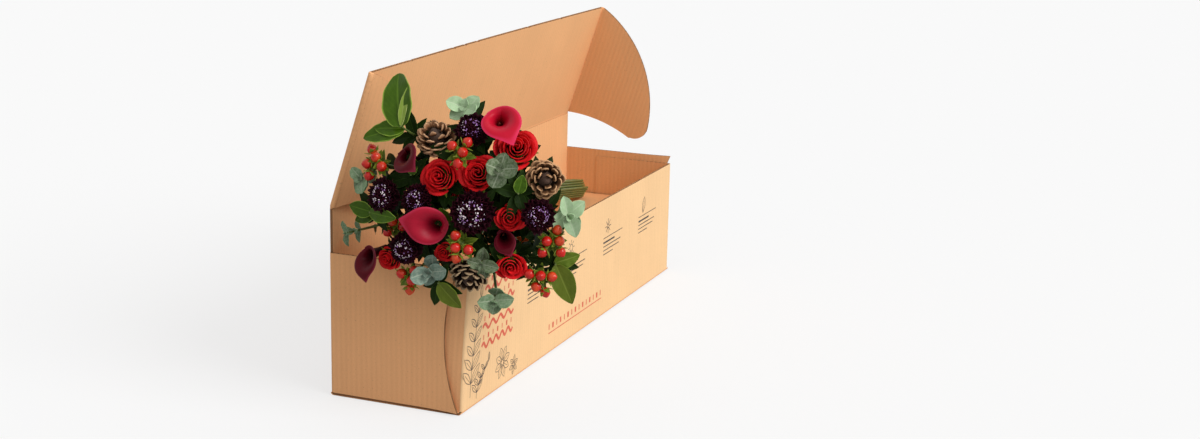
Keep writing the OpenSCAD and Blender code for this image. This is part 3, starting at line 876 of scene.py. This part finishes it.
# Radii, in millimetres, of the dome that the heads lie on and of the way they look
DOME_R, FACING_R = 250, 230
KNEE_DEPTH, NECK_DEPTH = 88 * MM, 180 * MM
STEM_R, STEM_GAP, TWIG_R, STUB_L = 1.6 * MM, 0.4 * MM, 1.4 * MM, 6 * MM
STEM_BEND = 14 * MM
BERRY_R, STALK_L, STALK_R = 5.6 * MM, 24 * MM, 0.9 * MM
CALLA_L = 44 * MM
PAIR_STEP, LEAF_STEP, LEAF_RISE = 9 * MM, 5 * MM, math.radians(12)
PETAL_T, FRILL_T, SCALE_T, SPATHE_T = 0.5 * MM, 0.3 * MM, 1.3 * MM, 0.9 * MM
HYPERICUM_LEAF_T, EUCALYPTUS_LEAF_T, GREEN_LEAF_T = 0.4 * MM, 0.6 * MM, 0.7 * MM
BIG_ROSE = 18 * MM
FRILL_LAYERS, FRILL_PETALS, CONE_SCALES = 3, 11, 46
BAND_W, BAND_T = 8 * MM, 1.6 * MM
# Middle of the heads, in millimetres, and the steps by which each ring of stems is turned
BUNCH_MID = (-8, 0)
RING_TURN = (0, 0, 1, 0)
# Heads lower than this, in millimetres, hang over the walls and have no leaves on their stems
BARE_BELOW = -84


def seat(f):
    """A head's place on the dome."""
    return Vector((f[0], f[1], f[2] - (f[0] ** 2 + f[1] ** 2) / (2 * DOME_R))) * MM


def outward(f):
    """The way that a head looks."""
    return Vector((f[0], f[1], FACING_R)).normalized()


def bunch_places():
    """Places of the tied stems: the heads fill the rings of a honeycomb by their distance from
    the middle, and follow their angle within a ring."""
    away = [math.hypot(f[0] - BUNCH_MID[0], f[1] - BUNCH_MID[1]) for f in HEADS]
    turns = [math.degrees(math.atan2(f[1] - BUNCH_MID[1], f[0] - BUNCH_MID[0])) % 360
             for f in HEADS]
    ranks = [sum(other < mine for other in away) for mine in away]
    rings = [math.ceil((math.sqrt(12 * rank + 9) - 3) / 6) for rank in ranks]
    places = []
    for i, k in enumerate(rings):
        if k == 0:
            places.append(Vector((0, 0, 0)))
            continue
        mates = [turns[j] for j, ring in enumerate(rings) if ring == k]
        if len(mates) < 6 * k:
            place = math.floor(turns[i] * k / 60 + 0.5)
        else:
            place = sum(mate < turns[i] for mate in mates) + RING_TURN[k]
        side, step = divmod(place % (6 * k), k)
        a, b = math.radians(60 * side), math.radians(60 * side + 120)
        pitch = 2 * STEM_R + STEM_GAP
        places.append(pitch * Vector((k * math.cos(a) + step * math.cos(b),
                                      k * math.sin(a) + step * math.sin(b), 0)))
    return places


BUNCH = bunch_places()


def on_dome(f):
    """From a head's own frame, facing +Z, to the world."""
    return BOUQUET @ Matrix.Translation(seat(f)) @ towards(outward(f))


# ---- The bouquet: stems and leaves ----


def rounded(route, reach):
    """A route with its corners rounded off."""
    points = [route[0]]
    for before, corner, after in zip(route, route[1:], route[2:]):
        into, out = corner - before, after - corner
        cut = min(reach, into.length / 2, out.length / 2)
        start, end = corner - into.normalized() * cut, corner + out.normalized() * cut
        for k in range(5):
            t = k / 4
            points.append(start.lerp(corner, t).lerp(corner.lerp(end, t), t))
    return points + [route[-1]]


def tube(name, points, radii, finish, sides=8, cap=None):
    """A round rod through the points, closed at both ends."""
    count = len(points)

    def shape(u, v):
        row = round(v * (count + 1)) - 1
        k = min(max(row, 0), count - 1)
        along = (points[min(k + 1, count - 1)] - points[max(k - 1, 0)]).normalized()
        side = along.orthogonal() if abs(along.x) > 0.9 else along.cross(RIGHT)
        side.normalize()
        turn = side * math.cos(math.tau * u) + along.cross(side) * math.sin(math.tau * u)
        return points[k] + turn * (radii[k] if row == k else 0)

    made = sheet(name, sides, count + 1, shape, finish)
    close_seams(made)
    if cap:
        made.data.materials.append(MATERIALS[cap])
        for face in made.data.polygons:
            if (face.center - points[-1]).length < radii[-1] * 0.8:
                face.material_index = 1
    return made


def blade(name, length, width, finish, number=0, fold=0.25, bend=0.3, wave=0.0, wide_at=0.42,
          blunt=0.85, columns=6, rows=12):
    """A leaf along +X from its stalk, folded along its midrib, arched and waved. The lower
    blunt is, the rounder are its ends."""
    power = math.log(0.5) / math.log(wide_at)

    def shape(u, v):
        side = 2 * u - 1
        half = width / 2 * math.sin(math.pi * clamp(v ** power, EDGE, 1 - EDGE)) ** blunt
        turn = bend * v
        away = length * (math.sin(turn) / bend if bend else v)
        drop = length * ((1 - math.cos(turn)) / bend if bend else 0)
        ripple = wave * width * math.sin(v * 19 + number + side) * side * side
        lift = abs(side) * half * fold + ripple
        return Vector((away, side * half, lift - drop))

    return sheet(name, columns, rows, shape, finish, lane(number))


def stem(i, depth, rng, leaves):
    """The stem of a head through the gathered bunch to its cut tip, with leaves near the head."""
    f = HEADS[i]
    base = seat(f) - outward(f) * (depth - 0.5 * MM)
    stub = base - outward(f) * STUB_L
    knee = Vector((f[0] / 2 * MM, f[1] / 2 * MM, -KNEE_DEPTH))
    neck = BUNCH[i] - UP * NECK_DEPTH
    tip = BUNCH[i] - UP * (TIP_DEPTH - TIP_STEP * (i % 4))
    points = rounded([base, stub, knee, neck, tip], STEM_BEND)
    radii = [STEM_R * 0.95] * len(points)
    pieces = [tube("stem", points, radii, "stem_green", cap="cut_stem")]
    off_middle = math.hypot(f[0], f[1])
    if f[1] < BARE_BELOW:
        leaves = 0
    for k in range(leaves):
        share = rng.uniform(0.0, 0.8)
        length = rng.uniform(28, 44) * (1.12 * MM - 0.0036 * off_middle * MM)
        room = depth - 2 * MM + share * (knee - stub).length
        steepest = math.asin(min(0.7, room / length))
        # The stem leaves' near-black green is partly painted shade between the heads
        leaf = blade("stem_leaf", length, length * rng.uniform(0.38, 0.5), "leaf_dark_and_painted_shade", 20 + k,
                     bend=rng.uniform(0.2, 0.9), wave=0.03, columns=4, rows=8)
        turn = turned(rng.uniform(0, 0.8) + SPIRAL * k, min(steepest, rng.uniform(0.35, 1.0)))
        at = Matrix.Translation(stub.lerp(knee, share))
        pieces.append(posed(leaf, at @ towards(stub - knee) @ turn))
    return posed(join("stem", pieces), BOUQUET)


def flower(kind, i, number, pieces, depth, rng, leaves=12):
    """Joins a head's pieces, sets it on the dome and adds its stem."""
    name = "%s_%d" % (kind, number)
    head = posed(join(name, pieces), on_dome(HEADS[i]))
    whole = join(name + "_bloom", [head, stem(i, depth, rng, leaves)])
    settle(whole, "bouquet", name)


# ---- The bouquet: heads ----


def copy_of(model, matrix, finish=None):
    """A copy of a model with its own mesh, at a place."""
    made = model.copy()
    made.data = model.data.copy()
    bpy.context.collection.objects.link(made)
    if finish:
        made.data.materials.clear()
        made.data.materials.append(MATERIALS[finish])
    return posed(made, matrix)


def ball(name, radius, segments, rings, finish):
    deselect()
    bpy.ops.mesh.primitive_uv_sphere_add(segments=segments, ring_count=rings, radius=radius)
    made = bpy.context.object
    made.name = name
    made.data.materials.append(MATERIALS[finish])
    return made


def berry_model():
    """A berry along +Z that narrows to its tip."""
    made = ball("berry", BERRY_R, 20, 14, "berry_skin")
    for vertex in made.data.vertices:
        taper = clamp(vertex.co.z / BERRY_R) ** 3
        vertex.co.x *= 0.98 - 0.3 * taper
        vertex.co.y *= 0.98 - 0.3 * taper
        vertex.co.z *= 1.0 + 0.12 * taper
    return made


def floret_model():
    """A five-lobed cup, one across."""
    def shape(u, v):
        turn = math.tau * u
        return polar((0.35 + 0.75 * v * v) * (1 + 0.25 * v * math.cos(5 * turn)), turn, 1.5 * v)

    return sheet("floret", 10, 2, shape, "scabiosa_petal", lambda u, v: (0.5, 0.4 + 0.6 * v))


BERRY = berry_model()
SEPAL = blade("sepal", 11 * MM, 5.4 * MM, "leaf_hypericum", 3, bend=-0.7, columns=4, rows=5)
ANTHER = ball("anther", 1, 8, 5, "anther_white")
FLORET = floret_model()
ROSE_SEPAL = blade("rose_sepal", 1, 0.36, "leaf_hypericum", 5, bend=0.7, columns=4, rows=6,
                   wide_at=0.3)
MODELS = [BERRY, SEPAL, ANTHER, FLORET, ROSE_SEPAL]


def rose(i, number):
    """Cupped petals, each turned by the golden angle and wider and lower than the last."""
    h, r = 1.15 * HEADS[i][3] * MM, 1.14 * HEADS[i][3] * MM
    rng = random.Random(number)
    count = 18 if r > BIG_ROSE else 14

    def petal(k):
        t = k / (count - 1)
        start = SPIRAL * k + rng.uniform(-0.2, 0.2)
        half = lerp(1.35, 0.98, t)
        rim = r * (0.09 + 0.89 * t ** 0.92)
        root = r * lerp(0.03, 0.22, t)
        top = r * (0.12 - 0.52 * t ** 1.7 + rng.uniform(-0.03, 0.03))
        curl = lerp(0.02, 0.20, t ** 1.2) * rng.uniform(0.6, 1.3)
        phase = rng.uniform(0, 6)

        def shape(u, v):
            side = 2 * u - 1
            reach = v * (1 - lerp(0.06, 0.30, t) * abs(side) ** 2.4)
            roll = clamp((reach - 0.62) / 0.38) ** 2
            away = root + (rim - root) * (1 - (1 - min(reach, 1)) ** 2.2) ** 0.6
            away += r * (0.08 * side * (1 - t) + 0.025 * math.sin(4 * side + phase) * v * t)
            away += r * curl * (roll - 0.15 * reach)
            z = -h + (h + top) * reach ** 0.95 - r * curl * 0.8 * roll
            z += 0.02 * r * math.sin(6 * side + phase) * roll * t
            return polar(away, start + side * half * lerp(0.6, 1, reach), z)

        return sheet("petal", 10, 10, shape, "rose_petal", lane(k))

    petals = [petal(k) for k in range(count)]
    for k in range(5):
        petals.append(copy_of(ROSE_SEPAL, turned(FIFTH * k, 0.5, (0, 0, -1.01 * h))
                              @ Matrix.Scale(1.15 * r, 4)))
    flower("rose", i, number, [join("petals", petals, PETAL_T)], h, rng)


def scabiosa(i, number):
    """Ragged dark petals round a low dome of florets, with pale anthers standing over it."""
    h, r = 0.62 * HEADS[i][3] * MM, 1.18 * HEADS[i][3] * MM
    rng = random.Random(100 + number)

    def petal(layer, k):
        start = (k + layer / FRILL_LAYERS) * math.tau / FRILL_PETALS + rng.uniform(-0.12, 0.12)
        reach = r * (1.03 - 0.10 * layer) * rng.uniform(0.88, 1.06)
        low = -h * (0.62 - 0.2 * layer)
        cup = rng.uniform(-0.10, 0.16) + 0.10 * layer
        phase = rng.uniform(0, 6)

        def shape(u, v):
            side = 2 * u - 1
            ragged = 1 - 0.17 * abs(math.sin(3.6 * side + phase)) * v - 0.08 * side * side
            wave = 0.10 * r * math.sin(6.5 * side + phase) * v
            return polar(lerp(0.2 * r, reach * ragged, v), start + side * lerp(0.42, 0.34, v),
                         low + reach * cup * v * v + wave)

        return sheet("petal", 8, 5, shape, "scabiosa_petal", lane(k + (FRILL_PETALS + 1) * layer))

    pieces = [petal(layer, k) for layer in range(FRILL_LAYERS) for k in range(FRILL_PETALS)]
    dome, dome_low, dome_h = 0.5 * r, -0.45 * h, 0.34 * r

    def core(u, v):
        return polar(dome * math.cos(QUARTER * v), math.tau * u,
                     dome_low + dome_h * math.sin(QUARTER * v))

    def on_core(share, turn, over=0.0):
        """A place on the dome, a share of its radius from its middle."""
        up = dome_low + dome_h * math.sqrt(max(0.03, 1 - share * share)) + over
        at = polar(dome * share, turn, up)
        return Matrix.Translation(at) @ towards(Vector((at.x, at.y, 0.8 * dome)))

    pieces.append(sheet("core", 16, 5, core, "scabiosa_petal", lambda u, v: (u, 0.3)))
    florets = round(44 * r / (18 * MM))
    for k in range(florets):
        size = 0.085 * r * rng.uniform(0.8, 1.25)
        at = on_core(math.sqrt((k + 0.5) / florets), SPIRAL * k)
        pieces.append(copy_of(FLORET, at @ Matrix.Scale(size, 4)))
    head = join("petals", pieces, FRILL_T)
    white = 0.62 if number in (2, 4, 6) else 0.2
    dots = []
    for k in range(round(florets * 1.7)):
        share = lerp(0.34, 1.14, math.sqrt(rng.random()))
        at = on_core(share, rng.uniform(0, math.tau), 0.17 * r)
        long = 0.047 * r * rng.uniform(0.7, 1.3)
        stretch = Matrix.Diagonal((long, 0.55 * long, 0.5 * long, 1))
        finish = "anther_white" if rng.random() < white else "anther_lilac"
        dots.append(copy_of(ANTHER, at @ turned(rng.uniform(0, 3), 0.5) @ stretch, finish))
    flower("scabiosa", i, number, [head, *dots], h, rng)


def pine_cone(i, number):
    """Woody scales up a core by the golden angle, on a cone that is tilted about its middle."""
    h, r = 1.5 * HEADS[i][3] * MM, 1.1 * HEADS[i][3] * MM
    rng = random.Random(200 + number)

    def scale(k):
        s = k / (CONE_SCALES - 1)
        belly = math.sqrt(max(0.02, 1 - ((s - 0.34) / 0.7) ** 2))
        rise = lerp(-0.05, 1.15, s ** 1.1)
        spread = rng.uniform(0.88, 1.07)
        rim = Vector((r * belly * spread, 0, h * (0.90 * s - 0.88 + rng.uniform(-0.03, 0.03))))
        root = rim - Vector((math.cos(rise), 0, math.sin(rise))) * lerp(0.8, 0.42, s) * r
        up = Vector((-math.sin(rise), 0, math.cos(rise)))
        width = lerp(0.62, 0.30, s ** 1.4) * r

        def shape(u, v):
            side = 2 * u - 1
            reach = v * (1 - 0.32 * abs(side) ** 2.2)
            half = width / 2 * (0.25 + 0.8 * math.sin(1.7 * v) ** 1.3)
            lip = 0.10 * r * clamp((reach - 0.68) / 0.32) ** 2
            hollow = 0.16 * width * (1 - side * side) * v
            return root.lerp(rim, reach) + BACK * side * half + up * (lip - hollow)

        piece = sheet("scale", 6, 5, shape, CONE_FINISHES[number - 1], lane(k))
        twisted = Matrix.Rotation(rng.uniform(-0.22, 0.22), 4, "X")
        return posed(piece, turned(GOLDEN * k) @ Matrix.Translation(root)
                     @ twisted @ Matrix.Translation(-root))

    head = join("scales", [scale(k) for k in range(CONE_SCALES)], SCALE_T)
    middle = tube("core", upright(-h, -0.8 * h, -0.35 * h, -0.1 * h),
                  [0.3 * r, 0.42 * r, 0.36 * r, 0.1 * r], "cone_core", 14)
    centre = Matrix.Translation((0, 0, -h / 2))
    tilt = Matrix.Rotation(math.radians(CONE_TILTS[number - 1]), 4, "X")
    cone = posed(join("cone", [head, middle]), centre @ tilt @ centre.inverted())
    flower("pine_cone", i, number, [cone], h, rng)


def calla(i, number):
    """A rolled spathe whose blade opens flat towards its pointed lip."""
    spread, back, finish = CALLA_FORMS[number - 1]
    mouth, lip_turn = HEADS[i][3] * MM * spread, math.radians(HEADS[i][4])
    throat, lip_h = STEM_R + 1.8 * MM, 0.42 * CALLA_L
    low = -CALLA_L + lip_h / 2
    rng = random.Random(300 + number)

    def shape(u, v):
        turn = lerp(-math.pi - 0.6, math.pi + 0.6, u)
        front = (0.5 + 0.5 * math.cos(turn)) ** 1.2 if abs(turn) < math.pi else 0
        tip = math.exp(-(turn / 0.26) ** 2)
        rim = CALLA_L - lip_h * (1 - math.cos(turn)) / 2
        open_r = mouth * lerp(back, 1.24, front)
        roll = clamp((v - 0.86) / 0.14) ** 2
        z = rim * (1 - (1 - v) ** 1.6) - 0.07 * mouth * roll * (1 + tip)
        away = throat + (open_r - throat) * v ** 2.2
        away += mouth * (0.05 * roll + 0.42 * tip * roll) + (u - 0.5) * 1.8 * MM
        away += 0.03 * mouth * math.sin(3 * turn + number) * v * v
        return polar(away, turn * (1 - 0.6 * tip * roll), z + low)

    bloom = sheet("spathe", 48, 22, shape, finish, lane(0))
    finish_with(bloom, "SOLIDIFY", thickness=SPATHE_T, offset=-1)
    heights = [low + share * CALLA_L for share in (0, 0.3, 0.42, 0.46)]
    spadix = tube("spadix", upright(*heights), [1.8 * MM, 1.7 * MM, 1.2 * MM, 0.5 * MM],
                  "spadix", 10)
    head = posed(join("bloom", [bloom, spadix]), turned(lip_turn))
    flower("calla", i, number, [head], CALLA_L - lip_h / 2, rng, leaves=3)


def hypericum(i, number):
    """Berries on forked stalks, each on a star of sepals, over a few leaves."""
    count, first = HEADS[i][3], HEADS[i][4]
    fork = (STALK_L - 2.4 * BERRY_R) / count
    rng = random.Random(400 + number)
    pieces = [tube("twig", upright(-STALK_L, -STALK_L + count * fork), [TWIG_R, 1.2 * MM],
                   "stem_green")]
    leaves = []
    for k in range(count):
        out = BERRY_R * 1.34 * math.sqrt(k + 0.5)
        at = polar(out, math.radians(first) + GOLDEN * k, -BERRY_R - 0.25 * out)
        fork_at = UP * (-STALK_L + (k + 1) * fork)
        axis = (at - fork_at).normalized()
        pieces.append(tube("stalk", [fork_at, at], [STALK_R, STALK_R], "stem_green", 6))
        pieces.append(copy_of(BERRY, Matrix.Translation(at) @ towards(axis)))
        base = Matrix.Translation(at - axis * BERRY_R * 0.9) @ towards(axis)
        for s in range(5):
            leaves.append(copy_of(SEPAL, base @ turned(FIFTH * s + k, rng.uniform(-0.1, 0.4))))
    for k in range(5):
        length = rng.uniform(14, 21) * MM
        leaf = blade("leaf", length, 0.42 * length, "leaf_hypericum", 30 + k, bend=0.5)
        leaves.append(posed(leaf, turned(1.3 * k + rng.uniform(-0.4, 0.4), rng.uniform(0.3, 0.8),
                                         (0, 0, -STALK_L + 3 * MM * (k // 2)))))
    green = join("leaves", leaves, HYPERICUM_LEAF_T)
    flower("hypericum", i, number, [green, *pieces], STALK_L, rng)


def eucalyptus(i, number):
    """Pairs of round leaves up a twig, each pair turned across the last."""
    r, pairs = HEADS[i][3] * MM, HEADS[i][4]
    twist, slim, finish = EUCALYPTUS_FORMS[number - 1]
    twig_l = PAIR_STEP * pairs + 4 * MM
    rng = random.Random(500 + number)
    leaves = []
    for k in range(pairs + 1):
        last = k == pairs
        for side in (0, 1):
            size = r * (0.9 if last else 2.0) * rng.uniform(0.85, 1.12)
            leaf = blade("leaf", size, size * slim * rng.uniform(0.88, 1.02), finish, 2 * k + side,
                         fold=rng.uniform(0.05, 0.3) + 1.2 * (1 - slim),
                         bend=rng.uniform(-0.5, 0.7), wave=0.03, wide_at=0.5, blunt=0.55,
                         columns=8)
            rise = (1.05 if last else 0.49) + rng.uniform(-0.25, 0.3)
            at = (0, 0, PAIR_STEP * min(k + 1, pairs) + 2 * MM * last - twig_l)
            turn = QUARTER * (k + 1 + 2 * side) + math.radians(twist) + rng.uniform(-0.35, 0.35)
            leaves.append(posed(leaf, turned(turn, rise, at)))
    green = join("leaves", leaves, EUCALYPTUS_LEAF_T)
    twig = tube("twig", upright(-twig_l, -1.5 * MM), [TWIG_R, 0.9 * MM], "stem_green")
    flower("eucalyptus", i, number, [green, twig], twig_l, rng, leaves=6)


def foliage(i, number):
    """The big leaves of a sprig, with small dark ones below them, whose near-black green is partly
    painted shade.
    """
    shapes = HEADS[i][3] + EXTRA_LEAVES.get(number, [])
    twig_l = LEAF_STEP * len(HEADS[i][3]) + 2 * MM
    rng = random.Random(600 + number)
    leaves = []
    top = 0
    for k, (direction, length, width) in enumerate(shapes):
        swing, lift, blunt, longer, wider = LEAF_POSES.get((number, k), (0, 0, 0.7, 1, 1))
        leaf = blade("leaf", length * MM * longer, width * MM * wider,
                     FOLIAGE_FINISHES[number - 1][k], k, fold=0.22, bend=length / 130, wave=0.03,
                     blunt=blunt, columns=10, rows=24)
        at = (0, 0, (lift - 1) * MM - LEAF_STEP * k)
        top = max(top, at[2] + 1 * MM)
        leaves.append(posed(leaf, turned(math.radians(direction + swing), LEAF_RISE, at)))
    for k in range(6):
        length = rng.uniform(20, 34) * MM
        leaf = blade("leaf", length, 0.42 * length, "leaf_dark_and_painted_shade", 10 + k, bend=0.5, wave=0.03)
        leaves.append(posed(leaf, turned(SPIRAL * k + number, rng.uniform(0.1, 0.6),
                                         (0, 0, -twig_l + 2 * MM))))
    green = join("leaves", leaves, GREEN_LEAF_T)
    twig = tube("twig", upright(-twig_l, top), [TWIG_R, 1.0 * MM], "stem_green")
    flower("foliage", i, number, [green, twig], twig_l, rng, leaves=6)


def tie_band():
    """The rubber band round the gathered stems."""
    reach = max(place.length for place in BUNCH) + STEM_R + STEM_GAP
    low = -NECK_DEPTH - 2 * BAND_W

    def shape(u, v):
        round_turn = math.tau * v
        away = reach + BAND_T / 2 - BAND_T / 2 * math.cos(round_turn)
        wind = 0.25 * MM * math.sin(3 * round_turn)
        z = low + BAND_W / 2 + BAND_W / 2 * math.sin(round_turn)
        return polar(away + wind, math.tau * u, z)

    made = sheet("band", 64, 18, shape, "rubber")
    close_seams(made)
    settle(join("band", [posed(made, BOUQUET)]), "bouquet", "tie_band")


CONE_FINISHES = ["cone_scale_pale", "cone_scale", "cone_scale_dark"]
CONE_TILTS = [-30, 12, 34]
# Spread of the mouth, reach of its back and finish
CALLA_FORMS = [(1.3, 0.66, "calla_bright"), (1.3, 0.56, "calla_wine"), (1.4, 0.5, "calla_dark"),
               (1.4, 0.55, "calla_dark"), (1.3, 0.5, "calla_dark")]
# Turn in degrees, width over length and finish
EUCALYPTUS_FORMS = [
    (-30, 0.9, "eucalyptus_mint"), (0, 1.0, "eucalyptus_grey"), (35, 0.72, "eucalyptus_mint"),
    (-40, 1.0, "eucalyptus_green"), (0, 0.6, "eucalyptus_green"), (0, 0.9, "eucalyptus_blue"),
    (0, 0.8, "eucalyptus_grey"), (0, 0.95, "eucalyptus_green")]
FOLIAGE_FINISHES = [
    ["leaf_glossy", "leaf_young", "leaf_glossy", "leaf_glossy"],
    ["leaf_glossy", "leaf_dark_and_painted_shade", "leaf_dark_and_painted_shade"],
    ["leaf_glossy", "leaf_glossy", "leaf_glossy"], ["leaf_glossy"], ["leaf_olive"],
    ["leaf_olive", "leaf_hypericum"], ["leaf_glossy", "leaf_dark_and_painted_shade"]]
EXTRA_LEAVES = {2: [(126, 54, 20)], 3: [(-4, 38, 17)], 7: [(200, 34, 18)]}
# Turn, lift, bluntness and scale of single big leaves, by the number of their sprig and their own
LEAF_POSES = {(1, 0): (13, 12, 0.5, 0.84, 1.25), (1, 1): (-24, 18, 0.8, 1.0, 0.8),
              (1, 2): (10, 16, 0.7, 1.0, 1.1), (1, 3): (5, 20, 0.6, 0.9, 1.1),
              (2, 2): (0, -6, 0.7, 1.0, 1.0),
              (3, 2): (0, 14, 0.7, 1.0, 1.0), (5, 0): (14, 0, 0.8, 1.05, 1.05),
              (6, 0): (10, 0, 0.75, 1.02, 0.85)}

MAKERS = {"rose": rose, "scabiosa": scabiosa, "pine_cone": pine_cone, "calla": calla,
          "hypericum": hypericum, "eucalyptus": eucalyptus, "foliage": foliage}
for i, (kind, number) in enumerate(LABELS):
    MAKERS[kind](i, number)
tie_band()
for model in MODELS:
    bpy.data.objects.remove(model)

# ---- Camera, light and floor ----

AZIMUTH, ELEVATION, ROLL = math.radians(-68.66), math.radians(13.71), math.radians(1.41)
SENSOR, FRAME_W, FOCAL_PIXELS = 36, 1200, 1769.4
CAMERA_AT = Vector((-1.985, -0.882, 0.670))
BRIGHT_SIDE = Vector((0.15, -0.75, 0.5)).normalized()
SKY_LEVEL, BACKDROP = 0.60, 0.94
KEY_LEVEL, KEY_SPREAD, KEY_TRAVEL = 2.15, math.radians(35), Vector((0.12, 0.8, -0.56))
FLOOR_SIZE, FLOOR_DROP, FLOOR_GLOW = 30, 0.6 * MM, 0.68


def camera():
    back = Vector((math.sin(AZIMUTH) * math.cos(ELEVATION),
                   -math.cos(AZIMUTH) * math.cos(ELEVATION), math.sin(ELEVATION)))
    right = Vector((math.cos(AZIMUTH), math.sin(AZIMUTH), 0))
    up = back.cross(right)
    x_axis = right * math.cos(ROLL) + up * math.sin(ROLL)
    y_axis = up * math.cos(ROLL) - right * math.sin(ROLL)
    deselect()
    bpy.ops.object.camera_add(location=CAMERA_AT)
    made = bpy.context.object
    turn = Matrix((x_axis, y_axis, back)).transposed().to_4x4()
    made.matrix_world = Matrix.Translation(CAMERA_AT) @ turn
    made.data.sensor_width = SENSOR
    made.data.lens = FOCAL_PIXELS / FRAME_W * SENSOR
    made.data.clip_end = 60
    bpy.context.scene.camera = made


def sky():
    """Soft light, stronger from the bright side, and the plain backdrop that the camera sees."""
    world = bpy.data.worlds.new("studio")
    world.use_nodes = True
    bpy.context.scene.world = world
    nodes = Nodes(world.node_tree)
    light = world.node_tree.nodes["Background"]
    light.inputs["Color"].default_value = (1, 1, 1, 1)
    place = nodes.node("TexCoord").outputs["Generated"]
    facing = nodes.node("VectorMath", {0: place, 1: BRIGHT_SIDE}, operation="DOT_PRODUCT")
    soft = nodes.remap(facing.outputs["Value"], -1.0, 1.0, 0.6 * SKY_LEVEL, 1.35 * SKY_LEVEL)
    seen = nodes.node("LightPath").outputs
    watched = nodes.maths("MAXIMUM", seen["Is Camera Ray"], seen["Is Glossy Ray"])
    watched = nodes.maths("MAXIMUM", watched, seen["Is Transmission Ray"])
    strength = nodes.node("Mix", {0: watched, 2: soft, 3: BACKDROP}).outputs[0]
    nodes.plug(light.inputs["Strength"], strength)


def key_light():
    deselect()
    bpy.ops.object.light_add(type="SUN", location=(-2, -2, 3))
    made = bpy.context.object
    made.name = "key"
    made.data.energy = KEY_LEVEL
    made.data.angle = KEY_SPREAD
    made.rotation_euler = KEY_TRAVEL.to_track_quat("-Z", "Y").to_euler()


def floor():
    """The pale ground. It takes the light plainly, and glows only to the camera."""
    deselect()
    bpy.ops.mesh.primitive_plane_add(size=FLOOR_SIZE, location=(0, 0, -FLOOR_DROP))
    made = bpy.context.object
    made.name = "floor"
    coat = bpy.data.materials.new("floor_paper")
    coat.use_nodes = True
    tree = coat.node_tree
    nodes = Nodes(tree)
    tree.nodes.remove(tree.nodes["Principled BSDF"])
    paint = nodes.node("BsdfDiffuse", {"Color": (0.5, 0.5, 0.5, 1)}).outputs[0]
    shown = nodes.node("BsdfDiffuse", {"Color": (0.25, 0.25, 0.25, 1)}).outputs[0]
    glow = nodes.node("Emission", {"Color": (1, 1, 1, 1), "Strength": FLOOR_GLOW}).outputs[0]
    added = nodes.node("AddShader", {0: shown, 1: glow}).outputs[0]
    watched = nodes.node("LightPath").outputs["Is Camera Ray"]
    mixed = nodes.node("MixShader", {0: watched, 1: paint, 2: added}).outputs[0]
    nodes.plug(tree.nodes["Material Output"].inputs["Surface"], mixed)
    made.data.materials.append(coat)


camera()
sky()
key_light()
floor()
bpy.context.scene.view_settings.view_transform = "Standard"
